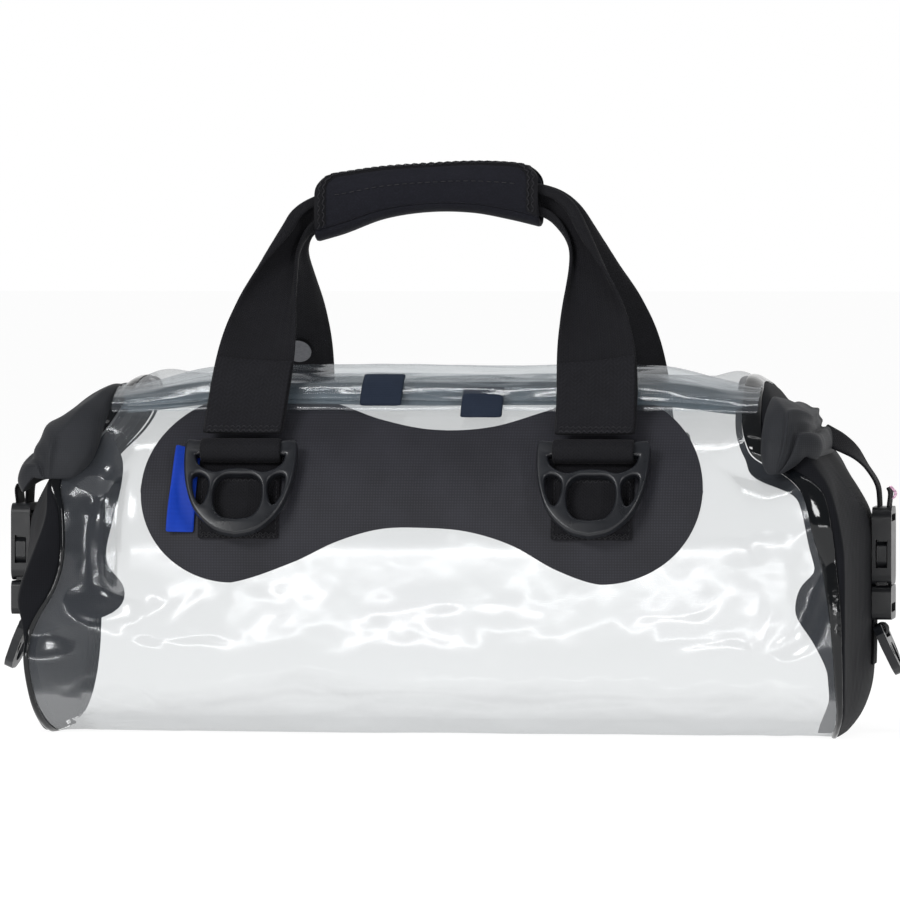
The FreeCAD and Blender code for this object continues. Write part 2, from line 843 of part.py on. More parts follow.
# ------------------------------------------------------ end buckles and rings

buckle_x = half_length + dim("buckle_gap") + dim("buckle_thickness") / 2
buckle_half = dim("buckle_width") / 2


def mirror_ends(side, points):
    return [(u * side, v) for u, v in points]


def female_buckle(name, side):
    """Socket with an open mouth below, side windows for the prongs and a strap bar on top."""
    body = new_body(name)
    low = dim("female_low")
    high = dim("female_high")
    centre = buckle_x * side
    thick = dim("buckle_thickness")
    outline = [rectangle(-buckle_half, low, buckle_half, high)]
    shell = new_sketch(body, "YZ_Plane", outline, offset=centre)
    pad(body, shell, thick)
    fillet(body, size_of(5.0), lambda edge: runs_along(edge, "x"))
    room = dim("prong_length") + 3
    inner = buckle_half - dim("buckle_wall")
    mouth = [rectangle(-inner, low - 2, inner, low + room)]
    pocket(body, new_sketch(body, "YZ_Plane", mouth, offset=centre), thick - dim("buckle_wall") * 2)
    window = [rectangle(centre - dim("prong_thickness") / 2 - 0.4, low + 8,
                        centre + dim("prong_thickness") / 2 + 0.4, low + 21)]
    pocket(body, new_sketch(body, "XZ_Plane", window), dim("buckle_width") + 4)
    slot_half = dim("strap_width") / 2 + 0.6
    slot = [rectangle(-slot_half, high - 6.6, slot_half, high - 3.4)]
    pocket(body, new_sketch(body, "YZ_Plane", slot, offset=centre), thick + 2)
    return keep(body, name)


def male_buckle(name, side):
    """Base of the side-release buckle with a guide tongue and a bar for the anchor webbing."""
    body = new_body(name)
    low = dim("male_low")
    joint = dim("female_low") - 0.4
    centre = buckle_x * side
    thick = dim("buckle_thickness")
    base = [rectangle(-buckle_half, low, buckle_half, joint)]
    pad(body, new_sketch(body, "YZ_Plane", base, offset=centre), thick)
    fillet(body, size_of(3.0), lambda edge: runs_along(edge, "x"))
    tongue = [rectangle(-3.0, joint - 1, 3.0, joint + dim("prong_length") - 4)]
    pad(body, new_sketch(body, "YZ_Plane", tongue, offset=centre), dim("prong_thickness") * 0.8)
    slot_half = dim("strap_width") / 2 + 0.6
    slot = [rectangle(-slot_half, low + 3.4, slot_half, low + 7.4)]
    pocket(body, new_sketch(body, "YZ_Plane", slot, offset=centre), thick + 2)
    return keep(body, name)


def buckle_prong(name, side, y_side):
    """Springy arm with a barb that stands in the side window; squeezed inward to release."""
    body = new_body(name)
    root = dim("female_low") - 0.1
    inner = dim("prong_offset")
    outer = inner + dim("prong_width")
    tip = root + dim("prong_length")
    barb = root + dim("prong_length") * 0.34
    points = [
        (inner * y_side, root),
        (outer * y_side, root),
        (outer * y_side, barb),
        ((outer + dim("prong_barb")) * y_side, barb + 3),
        ((outer + dim("prong_barb")) * y_side, barb + 10),
        (outer * y_side, barb + 12),
        (outer * y_side, tip),
        (inner * y_side, tip),
    ]
    pad(body, new_sketch(body, "YZ_Plane", [points], offset=buckle_x * side), dim("prong_thickness"))
    return keep(body, name)


def webbing_loop(side, low, high, cover):
    """Rectangle outline round a buckle bar that lies between two heights, outside the bar by cover."""
    reach = dim("buckle_thickness") / 2 + cover
    return mirror_ends(side, rectangle(buckle_x - reach, low - cover, buckle_x + reach, high + cover))


def upper_strap(name, side):
    """Webbing from under the folded ear, down to a loop round the female buckle's bar."""
    body = new_body(name)
    play = size_of(0.1)
    cover = dim("strap_thickness") + play
    bar_low = dim("female_high") - 3.4
    bar_high = dim("female_high")
    reach = dim("buckle_thickness") / 2 + cover
    inner = dim("ear_thickness") + ear_lift + 0.1
    top = inner + dim("strap_thickness")
    sewn = dim("ear_rise") - 8
    bend = dim("ear_rise") - dim("ear_length") / 2 - 0.5
    outer = [
        (buckle_x - reach, bar_low - cover),
        (buckle_x + reach, bar_low - cover),
        (buckle_x + reach, bar_high + cover),
        (buckle_x, bar_high + cover + 2.5),
        on_slope(bend, top),
        on_slope(sewn, top),
        on_slope(sewn, inner),
        on_slope(bend, inner),
        (buckle_x - reach, bar_high + cover + 1),
    ]
    outlines = [mirror_ends(side, outer), webbing_loop(side, bar_low, bar_high, play)]
    pad(body, new_sketch(body, "XZ_Plane", outlines), dim("strap_width"))
    return keep(body, name)


def end_anchor(name, side):
    """Webbing sewn to the end panel; it loops round the male buckle's bar and holds the end ring."""
    body = new_body(name)
    play = size_of(0.1)
    cover = dim("strap_thickness") * 0.9 + play
    bar_low = dim("male_low")
    bar_high = bar_low + 3.4
    base_outer = half_length + dim("strap_thickness")
    base = [mirror_ends(side, rectangle(half_length + 0.05, 30, base_outer, bar_high + 9))]
    pad(body, new_sketch(body, "XZ_Plane", base), dim("strap_width"))
    loop = [webbing_loop(side, bar_low, bar_high, cover), webbing_loop(side, bar_low, bar_high, play)]
    pad(body, new_sketch(body, "XZ_Plane", loop), dim("strap_width"))
    axis_x = (half_length + dim("end_ring_reach")) * side
    bore = dim("end_ring_bar") + dim("bar_clearance")
    roll = bore + dim("strap_thickness") * 0.8
    height = dim("end_ring_height")
    pad(body, new_sketch(body, "XZ_Plane", circles=[(axis_x, height, roll)]), dim("strap_width"))
    web = [mirror_ends(side, rectangle(half_length + 0.5, height - 1, half_length + 2.2, height + 1))]
    pad(body, new_sketch(body, "XZ_Plane", web), dim("strap_width"))
    pocket(body, new_sketch(body, "XZ_Plane", circles=[(axis_x, height, bore)]), dim("strap_width") + 2)
    return keep(body, name)


for end, side in ENDS.items():
    female_buckle(end + "_female_buckle", side)
    male_buckle(end + "_male_buckle", side)
    for side_name, y_side in SIDES.items():
        buckle_prong(f"{end}_{side_name}_prong", side, y_side)
    upper_strap(end + "_upper_strap", side)
    end_anchor(end + "_anchor_strap", side)
    ring = moulded_ring(
        end + "_end_ring", dim("end_ring_width"), dim("end_ring_drop"), dim("end_ring_thickness"),
        dim("end_ring_hole"), dim("end_ring_hole_drop"), dim("end_ring_bar"), dim("strap_width"),
    )
    keep(ring, end + "_end_ring")
    quarter_turn = FreeCAD.Rotation(FreeCAD.Vector(0, 0, 1), 90.0)
    lean = FreeCAD.Rotation(FreeCAD.Vector(0, 1, 0), -DIMENSIONS["end_ring_lean"] * side)
    ring.Placement = FreeCAD.Placement(FreeCAD.Vector(), lean.multiply(quarter_turn))
    bind(ring, "Placement.Base.x", (half_length + dim("end_ring_reach")) * side)
    bind(ring, "Placement.Base.z", dim("end_ring_height"))


# ------------------------------------------------------------------- labels

def side_label():
    """Plain cloth label sewn beside the front left anchor, behind the ring's arm."""
    body = new_body("side_label")
    inner = dim("shoulder_radius") + dim("patch_thickness") + 0.05
    curved_strip(body, -1, dim("label_width"), inner, dim("label_thickness"), dim("label_angle"))
    keep(body, "side_label")
    place_on_shoulder_axis(
        body, -1, dim("handle_centre") - dim("label_offset"),
        DIMENSIONS["base_tab_angle"] + DIMENSIONS["label_angle"] + 2.0,
    )


def end_tag():
    """Small plain tag on the right upper strap, close to the buckle."""
    body = new_body("end_tag")
    outline = [rectangle(-3.0, -2.5, 3.0, 2.5)]
    pad(body, new_sketch(body, "XY_Plane", outline), dim("label_thickness"))
    tag = keep(body, "end_tag")
    place(tag, x=buckle_x + 4.5, y=0, z=dim("female_high") + 6.5, axis=(0, 1, 0), angle=60.0)


side_label()
end_tag()

document.recompute()
for item in document.Objects:
    if "Invalid" in item.State or "Error" in item.State:
        raise RuntimeError(f"{item.Name} failed: {item.State}")
for item in sub_parts:
    if item.Shape.isNull() or not item.Shape.isValid():
        raise RuntimeError(f"{item.Label} has no valid shape")

os.makedirs("parts", exist_ok=True)
for item in sub_parts:
    item.Shape.exportStep(f"parts/{item.Label}.step")
    print(item.Label, round(item.Shape.Volume / 1000.0, 2), "cm3", len(item.Shape.Solids), "solids")
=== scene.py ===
"""Looks of the clear dry duffel bag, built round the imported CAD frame. Metres."""
import bmesh
import bpy
import math
import numpy as np
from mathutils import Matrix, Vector, noise


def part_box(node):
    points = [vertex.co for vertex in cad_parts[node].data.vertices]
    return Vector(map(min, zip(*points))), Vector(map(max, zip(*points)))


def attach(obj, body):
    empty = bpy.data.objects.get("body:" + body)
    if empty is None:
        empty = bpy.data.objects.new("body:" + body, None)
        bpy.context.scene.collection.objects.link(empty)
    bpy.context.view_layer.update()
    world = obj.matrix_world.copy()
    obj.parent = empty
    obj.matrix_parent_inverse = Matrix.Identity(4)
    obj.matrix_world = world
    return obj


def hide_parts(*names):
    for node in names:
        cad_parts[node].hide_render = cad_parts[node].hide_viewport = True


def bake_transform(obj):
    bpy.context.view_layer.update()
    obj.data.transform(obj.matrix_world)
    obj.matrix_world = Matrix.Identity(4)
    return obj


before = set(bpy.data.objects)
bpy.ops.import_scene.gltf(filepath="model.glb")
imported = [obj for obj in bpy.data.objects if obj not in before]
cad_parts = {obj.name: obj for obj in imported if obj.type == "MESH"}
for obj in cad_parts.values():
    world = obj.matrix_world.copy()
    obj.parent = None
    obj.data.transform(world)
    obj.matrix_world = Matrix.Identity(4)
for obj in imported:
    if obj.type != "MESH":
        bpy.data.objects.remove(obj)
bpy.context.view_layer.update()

MM = 0.001
TAU = 2 * math.pi
SIDES = {"front": -1, "rear": 1}         # sign of y
ENDS = {"left": -1, "right": 1}          # sign of x


def put(name, data):
    """Makes an object of some data and puts it in the scene."""
    item = bpy.data.objects.new(name, data)
    bpy.context.scene.collection.objects.link(item)
    return item


# ------------------------------------------------------------------- camera

SENSOR = 36.0
PHOTO_WIDTH = 900 * 0.466 * MM           # pixels times what a pixel spans at the bag


def make_camera():
    azimuth, elevation, distance = math.radians(8.0), math.radians(1.5), 3.5
    target = Vector((-0.0007, 0, 0.1293))
    back = Vector((math.sin(azimuth) * math.cos(elevation),
                   -math.cos(azimuth) * math.cos(elevation), math.sin(elevation)))
    data = bpy.data.cameras.new("camera")
    data.sensor_width = SENSOR
    data.lens = SENSOR * distance / PHOTO_WIDTH
    data.clip_end = 50
    camera = put("camera", data)
    camera.location = target + back * distance
    camera.rotation_mode = "QUATERNION"
    camera.rotation_quaternion = (-back).to_track_quat("-Z", "Y")
    bpy.context.scene.camera = camera


make_camera()


# ---------------------------------------------------------------- node tools

class Nodes:
    """Short way to build a material's node tree."""

    def __init__(self, name):
        self.material = bpy.data.materials.new(name)
        self.material.use_nodes = True
        self.tree = self.material.node_tree
        self.shader = self.tree.nodes["Principled BSDF"]
        self.output = self.tree.nodes["Material Output"]
        self.place = self.coordinates("Object")

    def add(self, kind, inputs, **settings):
        node = self.tree.nodes.new(kind)
        for key, value in settings.items():
            setattr(node, key, value)
        for key, value in inputs.items():
            self.set(node.inputs[key], value)
        return node

    def set(self, socket, value):
        if isinstance(value, bpy.types.NodeSocket):
            self.tree.links.new(value, socket)
        else:
            socket.default_value = value

    def shade(self, **inputs):
        for key, value in inputs.items():
            self.set(self.shader.inputs[key.replace("_", " ")], value)

    def coordinates(self, output):
        return self.add("ShaderNodeTexCoord", {}).outputs[output]

    def math(self, operation, a, b=0.0):
        return self.add("ShaderNodeMath", {0: a, 1: b}, operation=operation).outputs[0]

    def weigh(self, *terms):
        """Adds up (socket, weight) terms."""
        *first, total = [self.math("MULTIPLY", socket, weight) for socket, weight in terms]
        for part in reversed(first):
            total = self.math("ADD", part, total)
        return total

    def mapping(self, scale):
        return self.add("ShaderNodeMapping", {"Vector": self.place, "Scale": scale}).outputs[0]

    def noise(self, scale, detail=3.0, roughness=0.5, vector=None):
        return self.add("ShaderNodeTexNoise", {
            "Vector": self.place if vector is None else vector,
            "Scale": scale, "Detail": detail, "Roughness": roughness}).outputs["Fac"]

    def ramp(self, factor, *stops):
        """Colours from (position, colour) stops."""
        node = self.add("ShaderNodeValToRGB", {"Fac": factor})
        for element, (position, colour) in zip(node.color_ramp.elements, stops):
            element.position = position
            element.color = (*colour, 1)
        return node.outputs["Color"]

    def shades(self, factor, colour, *stops):
        """Darker and lighter tones of one colour, from (position, brightness) stops."""
        return self.ramp(factor, *((position, scaled(colour, times)) for position, times in stops))

    def bump(self, height, strength, distance, normal=None):
        inputs = {"Height": height, "Strength": strength, "Distance": distance}
        if normal is not None:
            inputs["Normal"] = normal
        return self.add("ShaderNodeBump", inputs).outputs["Normal"]

    def mixed(self, share, first, second):
        return self.add("ShaderNodeMixShader", {0: share, 1: first, 2: second}).outputs[0]


def scaled(colour, times):
    return tuple(min(1, c * times) for c in colour)


def clear_film(name, tint, haze, gloss=1.0):
    """See-through vinyl: clear transmission, fresnel gloss and a trace of milky haze."""
    n = Nodes(name)
    normal = n.bump(n.noise(60.0, 2.0), 0.10, 0.002)
    normal = n.bump(n.noise(420.0, 2.0), 0.06, 0.0004, normal)
    grazing = n.add("ShaderNodeLayerWeight", {"Blend": 0.5, "Normal": normal}).outputs["Facing"]
    seen = n.shades(grazing, tint, (0.25, 1.0), (1.0, 0.80))
    clear = n.add("ShaderNodeBsdfTransparent", {"Color": seen}).outputs[0]
    n.shade(Base_Color=(0.70, 0.78, 0.90, 1), Roughness=0.07, Normal=normal, Specular_IOR_Level=0.6)
    facing = n.add("ShaderNodeFresnel", {"IOR": 1.5, "Normal": normal}).outputs[0]
    shine = n.math("MINIMUM", n.math("MULTIPLY", facing, gloss), 0.27)
    glossy = n.add("ShaderNodeBsdfGlossy", {
        "Color": (0.78, 0.79, 0.80, 1), "Roughness": 0.15, "Normal": normal}).outputs[0]
    milky = n.mixed(haze, clear, n.shader.outputs[0])
    n.tree.links.new(n.mixed(shine, milky, glossy), n.output.inputs["Surface"])
    return n.material


def coated_fabric(name, colour, pitch=0.00125, roughness=0.62, wear=0.3, shine=0.28):
    """Woven fabric under a thin coating: fine square grid with soft mottling."""
    n = Nodes(name)
    waves = [n.add("ShaderNodeTexWave", {"Vector": n.place, "Scale": 0.314 / pitch, "Distortion": 0.2,
                                         "Detail": 1.0}, bands_direction=direction).outputs["Fac"]
             for direction in ("X", "Z")]
    grid = n.math("MULTIPLY", waves[0], waves[1])
    tone = n.weigh((n.noise(45.0, 4.0), 0.6), (grid, 0.5))
    normal = n.bump(grid, 0.3, 0.00012)
    n.shade(Base_Color=n.shades(tone, colour, (0.25, 0.8), (0.85, 1.35 + wear)), Roughness=roughness,
            Normal=n.bump(n.noise(160.0), 0.12, 0.0006, normal), Specular_IOR_Level=shine,
            Sheen_Weight=0.02, Sheen_Roughness=0.5)
    return n.material


def webbing_cloth(name, colour, pitch=0.0016, roughness=0.78):
    """Woven webbing: a herringbone of fine ribs laid out by UV in metres (u across, v along)."""
    n = Nodes(name)
    across, along_it = n.add("ShaderNodeSeparateXYZ", {"Vector": n.coordinates("UV")}).outputs[:2]
    slanted = n.math("ADD", along_it, n.math("PINGPONG", across, pitch * 1.5))
    ribs = n.math("SINE", n.math("MULTIPLY", slanted, TAU / pitch))
    cords = n.math("SINE", n.math("MULTIPLY", across, TAU / (pitch * 0.75)))
    relief = n.weigh((ribs, 0.35), (cords, 0.2))
    fuzz = n.noise(1800.0, 2.0)
    tone = n.weigh((relief, 0.35), (fuzz, 0.5), (n.noise(70.0), 0.4))
    n.shade(Base_Color=n.shades(tone, colour, (0.1, 0.55), (0.95, 1.7)), Roughness=roughness,
            Normal=n.bump(fuzz, 0.25, 0.0002, n.bump(relief, 0.5, 0.0003)), Specular_IOR_Level=0.18,
            Sheen_Weight=0.03, Sheen_Roughness=0.4)
    return n.material


def moulded_plastic(name, colour, roughness=0.38):
    """Satin plastic with fine grain and uneven scuffs."""
    n = Nodes(name)
    scuff = n.noise(90.0, 5.0, 0.7)
    rough = n.add("ShaderNodeMapRange", {
        "Value": scuff, "To Min": roughness - 0.08, "To Max": roughness + 0.14}).outputs[0]
    n.shade(Base_Color=n.shades(scuff, colour, (0.3, 0.85), (0.8, 1.5)), Roughness=rough,
            Normal=n.bump(n.noise(900.0), 0.12, 0.0002), Specular_IOR_Level=0.4)
    return n.material


def knit_neoprene(name, colour):
    """Matte knit: small cells stretched along the height."""
    n = Nodes(name)
    knit = n.add("ShaderNodeTexVoronoi", {
        "Vector": n.mapping((1.0, 1.0, 1.6)), "Scale": 1500.0}).outputs["Distance"]
    tone = n.weigh((knit, 0.7), (n.noise(60.0), 0.4))
    n.shade(Base_Color=n.shades(tone, colour, (0.1, 0.6), (0.9, 1.8)), Roughness=0.85,
            Normal=n.bump(knit, 0.35, 0.0002), Specular_IOR_Level=0.15,
            Sheen_Weight=0.03, Sheen_Roughness=0.45)
    return n.material


def glossy_black(name):
    """Black coated fabric seen through the welded film: deep black with wet gloss."""
    n = Nodes(name)
    wobble = n.noise(70.0)
    n.shade(Base_Color=n.ramp(wobble, (0.2, (0.002, 0.0024, 0.003)), (0.9, (0.005, 0.006, 0.0075))),
            Roughness=0.10, Normal=n.bump(wobble, 0.35, 0.002), Specular_IOR_Level=0.30,
            Coat_Weight=0.25, Coat_Roughness=0.03)
    return n.material


def brushed_metal(name):
    """Dull metal with fine streaks."""
    n = Nodes(name)
    streaks = n.noise(500.0, 2.0, vector=n.mapping((1.0, 1.0, 12.0)))
    n.shade(Base_Color=n.ramp(streaks, (0.2, (0.10, 0.10, 0.11)), (0.8, (0.20, 0.20, 0.21))),
            Roughness=0.32, Normal=n.bump(streaks, 0.15, 0.0001), Metallic=1.0)
    return n.material


def plain_cloth(name, colour, scale=2600.0):
    """Fine cloth with one direction of threads."""
    n = Nodes(name)
    threads = n.add("ShaderNodeTexWave", {"Vector": n.place, "Scale": scale / 12.6, "Distortion": 0.6},
                    bands_direction="Z").outputs["Fac"]
    n.shade(Base_Color=n.shades(threads, colour, (0.1, 0.75), (0.9, 1.2)), Roughness=0.55,
            Normal=n.bump(threads, 0.3, 0.0001), Specular_IOR_Level=0.2)
    return n.material


FILM = clear_film("clear_film", (0.905, 0.912, 0.912), 0.038)
ROLLED = clear_film("rolled_film", (0.88, 0.90, 0.91), 0.03, 1.2)
PANEL = coated_fabric("panel_fabric", (0.0080, 0.0084, 0.0104), 0.0008, 0.7, 0.1, 0.05)
EAR_CLOTH = coated_fabric("ear_fabric", (0.0170, 0.0182, 0.0215), 0.0008, 0.65, 0.1, 0.22)
PATCH = coated_fabric("patch_fabric", (0.0125, 0.0127, 0.0172), 0.00125, 0.62, 0.55)
WELD_GLOSS = glossy_black("weld_gloss")
WEBBING = webbing_cloth("webbing", (0.0055, 0.0055, 0.0072))
OVERLAY = webbing_cloth("overlay_webbing", (0.0068, 0.0068, 0.0088), 0.0022)
RING = moulded_plastic("ring_plastic", (0.0095, 0.0105, 0.013), 0.27)
BUCKLE = moulded_plastic("buckle_plastic", (0.008, 0.0085, 0.010), 0.34)
NEOPRENE = knit_neoprene("neoprene", (0.0058, 0.006, 0.009))
BINDING = webbing_cloth("edge_binding", (0.005, 0.005, 0.0066), 0.0009)
HOOK = knit_neoprene("hook_and_loop", (0.012, 0.012, 0.014))
THREAD = plain_cloth("thread", (0.018, 0.018, 0.021), 9000.0)
METAL = brushed_metal("snap_metal")
TRACK = moulded_plastic("track_plastic", (0.085, 0.105, 0.120), 0.16)
TAB = coated_fabric("tab_fabric", (0.013, 0.019, 0.033), 0.0008, 0.7, 0.1, 0.10)
LABEL = plain_cloth("label_cloth", (0.0015, 0.034, 0.34), 7000.0)
TAG = plain_cloth("tag_cloth", (0.70, 0.42, 0.58))


# ---------------------------------------------------------------- mesh tools

def new_object(name, vertices, faces, material, uvs=None, smooth=True):
    mesh = bpy.data.meshes.new(name)
    mesh.from_pydata([tuple(v) for v in vertices], [], faces)
    if uvs is not None:
        layer = mesh.uv_layers.new(name="UVMap")
        for loop in mesh.loops:
            layer.data[loop.index].uv = uvs[loop.vertex_index]
    mesh.update()
    if smooth:
        mesh.shade_smooth()
    mesh.materials.append(material)
    return put(name, mesh)


def grid_faces(rows, columns, closed=False):
    """Quads of a grid; a closed one joins its last column to its first."""
    faces = []
    for r in range(rows - 1):
        for c in range(columns if closed else columns - 1):
            at, under, c2 = r * columns, (r + 1) * columns, (c + 1) % columns
            faces.append((at + c, at + c2, under + c2, under + c))
    return faces


def grid_object(name, points, material, uvs=None, closed=False):
    flat = [p for row in points for p in row]
    flat_uvs = None if uvs is None else [uv for row in uvs for uv in row]
    return new_object(name, flat, grid_faces(len(points), len(points[0]), closed), material, flat_uvs)


def lay(rows, columns, point):
    """A grid of whatever point(row, column) gives."""
    return [[point(r, c) for c in range(columns)] for r in range(rows)]


def modifier(item, kind, **settings):
    made = item.modifiers.new(kind.lower(), kind)
    for key, value in settings.items():
        setattr(made, key, value)
    return made


def solidify(item, thickness, offset=0.0):
    modifier(item, "SOLIDIFY", thickness=thickness, offset=offset, use_even_offset=False)


def subdivide(item):
    modifier(item, "SUBSURF", levels=1, render_levels=1)


def apply_modifiers(item):
    """Bakes an object's modifiers into its mesh."""
    graph = bpy.context.evaluated_depsgraph_get()
    evaluated = item.evaluated_get(graph)
    mesh = bpy.data.meshes.new_from_object(evaluated, preserve_all_data_layers=True, depsgraph=graph)
    item.modifiers.clear()
    item.data = mesh


def smoothstep(low, high, value):
    t = min(1.0, max(0.0, (value - low) / (high - low)))
    return t * t * (3 - 2 * t)


def mix(a, b, share):
    return a + (b - a) * share


def bell(value, centre, width):
    return math.exp(-((value - centre) / width) ** 2)


def curve(value, stops):
    """Smooth curve through (position, height) stops."""
    if value <= stops[0][0]:
        return stops[0][1]
    if value >= stops[-1][0]:
        return stops[-1][1]
    index = next(i for i in range(len(stops) - 1) if value <= stops[i + 1][0])
    (x0, y0), (x1, y1) = stops[index], stops[index + 1]
    before, after = stops[max(index - 1, 0)], stops[min(index + 2, len(stops) - 1)]
    slope0 = (y1 - before[1]) / (x1 - before[0])
    slope1 = (after[1] - y0) / (after[0] - x0)
    t, h = (value - x0) / (x1 - x0), x1 - x0
    return ((2 * t ** 3 - 3 * t ** 2 + 1) * y0 + (t ** 3 - 2 * t ** 2 + t) * h * slope0
            + (3 * t ** 2 - 2 * t ** 3) * y1 + (t ** 3 - t ** 2) * h * slope1)


def along(points, count, closed=False):
    """Evenly spaced points on a smooth line through a few points, of any dimension, and its length."""
    pts = [np.array(p, float) for p in points]
    if closed:
        pts = [pts[-1]] + pts + [pts[0], pts[1]]
    else:
        pts = [2 * pts[0] - pts[1]] + pts + [2 * pts[-1] - pts[-2]]
    fine = []
    for a, b, c, d in zip(pts, pts[1:], pts[2:], pts[3:]):
        for t in np.arange(24) / 24:
            fine.append(0.5 * (2 * b + (c - a) * t + (2 * a - 5 * b + 4 * c - d) * t * t
                               + (3 * b - a - 3 * c + d) * t ** 3))
    fine.append(pts[-2])
    fine = np.array(fine)
    walk = np.concatenate([[0], np.cumsum(np.linalg.norm(np.diff(fine, axis=0), axis=1))])
    goal = np.linspace(0, walk[-1], count, endpoint=not closed)
    return np.stack([np.interp(goal, walk, fine[:, k]) for k in range(fine.shape[1])], axis=1), walk[-1]


def wander(x, y, z, scale, seed=0.0):
    """Smooth repeatable noise from -1 to 1."""
    return noise.noise(Vector((x * scale + seed, y * scale - seed * 0.7, z * scale + seed * 1.3)))


def link_piece(item, body, replaces=()):
    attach(item, body)
    if replaces:
        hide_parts(*replaces)


# ------------------------------------------------------- bag shell: film, ends

_, film_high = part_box("clear_body")
DEPTH = film_high.y                      # half depth of the bag
HEIGHT = film_high.z
SHOULDER = 0.074                         # radius of the shell's upper edges
BASE = 0.046                             # radius of its lower edges
SHOULDER_Y = DEPTH - SHOULDER
SHOULDER_Z = HEIGHT - SHOULDER
CENTRE = -0.004                          # middle of the handles along the bag
SPACING = 0.081                          # handle webbing from that middle
FLOOR_GAP = 0.0004                       # lowest place of the film over the floor

# The tables below have one row per end: 1 right, -1 left, and 2 and -2 for the same at the rear.
# where the film is welded to each end, as (height, x)
WELD = {
    1: [(0, 0.182), (0.005, 0.185), (0.016, 0.187), (0.059, 0.1845), (0.095, 0.177), (0.114, 0.171),
        (0.121, 0.162), (0.127, 0.1495), (0.134, 0.1450), (0.141, 0.1425), (0.152, 0.141), (0.158, 0.1405)],
    2: [(0, 0.176), (0.016, 0.179), (0.059, 0.1785), (0.095, 0.174), (0.122, 0.165), (0.134, 0.1525),
        (0.141, 0.148), (0.152, 0.144), (0.158, 0.143)],
    -1: [(0, 0.176), (0.010, 0.180), (0.028, 0.1825), (0.044, 0.1825), (0.053, 0.1785), (0.066, 0.1705),
         (0.081, 0.1665), (0.105, 0.167), (0.115, 0.169), (0.125, 0.165), (0.140, 0.151), (0.158, 0.143)],
    -2: [(0, 0.186), (0.0175, 0.1850), (0.042, 0.1845), (0.060, 0.184), (0.075, 0.184), (0.092, 0.186),
         (0.105, 0.186), (0.122, 0.174), (0.140, 0.156), (0.158, 0.143)],
}
# the middle of each end's outline, as (height, x)
END = {
    1: [(0, 0.185), (0.005, 0.189), (0.012, 0.1925), (0.022, 0.1955), (0.037, 0.1965), (0.072, 0.1965),
        (0.100, 0.1950), (0.120, 0.183), (0.140, 0.166), (0.158, 0.150)],
    -1: [(0, 0.188), (0.011, 0.1945), (0.028, 0.1968), (0.065, 0.1970), (0.085, 0.1966), (0.100, 0.1950),
         (0.120, 0.183), (0.140, 0.166), (0.158, 0.150)],
}
# the domed end's outline at its front and rear sides, as (height, x)
RIM = {
    1: [(0, 0.184), (0.012, 0.190), (0.059, 0.1915), (0.095, 0.190), (0.120, 0.182), (0.140, 0.166),
        (0.158, 0.150)],
    2: [(0, 0.178), (0.012, 0.182), (0.059, 0.184), (0.100, 0.183), (0.120, 0.177), (0.140, 0.164),
        (0.158, 0.150)],
    -1: [(0, 0.179), (0.0175, 0.184), (0.042, 0.1850), (0.0535, 0.187), (0.0608, 0.189), (0.070, 0.187),
         (0.085, 0.181), (0.0995, 0.176), (0.120, 0.174), (0.140, 0.165), (0.158, 0.150)],
    -2: [(0, 0.190), (0.050, 0.190), (0.100, 0.190), (0.122, 0.180), (0.140, 0.166), (0.158, 0.150)],
}
# width of the glossy welded band beside the film, as (height, width)
BAND = {
    1: [(0, 0.007), (0.016, 0.008), (0.045, 0.0055), (0.059, 0.0055), (0.095, 0.0095), (0.122, 0.010),
        (0.158, 0.0085)],
    -1: [(0, 0.003), (0.028, 0.003), (0.060, 0.0025), (0.105, 0.0028), (0.118, 0.006), (0.128, 0.011),
         (0.158, 0.011)],
}
# how far the dark panel reaches in behind the film, as (height, x); at the right end from height 0.112 to
# 0.125 it reaches further in, a dark sheet that paints the dark reflection in the film's fold under the ear
FLANGE = {
    1: [(0, 0.176), (0.024, 0.1855), (0.036, 0.182), (0.046, 0.1765), (0.0536, 0.1705), (0.0596, 0.169),
        (0.071, 0.172), (0.079, 0.179), (0.095, 0.1755), (0.1125, 0.169), (0.1175, 0.153), (0.121, 0.1475),
        (0.1245, 0.1465), (0.129, 0.145), (0.141, 0.1405), (0.158, 0.1375)],
    -1: [(0, 0.174), (0.028, 0.179), (0.047, 0.178), (0.0515, 0.160), (0.055, 0.1484), (0.060, 0.141),
         (0.066, 0.1392), (0.0705, 0.1405), (0.0765, 0.147), (0.083, 0.149), (0.0925, 0.1474),
         (0.1065, 0.144), (0.120, 0.1415), (0.128, 0.1425), (0.136, 0.1475), (0.145, 0.147), (0.158, 0.140)],
}


def surface(z, lift=0.0):
    """(distance from the middle plane, height) on the plain shell at a height, lifted off it."""
    if z >= SHOULDER_Z:
        turn = math.asin(min(1.0, (z - SHOULDER_Z) / SHOULDER))
        radius = SHOULDER + lift
        return SHOULDER_Y + radius * math.cos(turn), SHOULDER_Z + radius * math.sin(turn)
    if z >= BASE:
        return DEPTH + lift, z
    turn = math.acos(min(1.0, (BASE - z) / BASE))
    return DEPTH - BASE + (BASE + lift) * math.sin(turn), BASE - (BASE + lift) * math.cos(turn)


def on_shell(x, z, lift, side=-1):
    """A point over the shell's front, or over its rear with side 1."""
    y, height = surface(z, lift)
    return Vector((x, side * y, height))


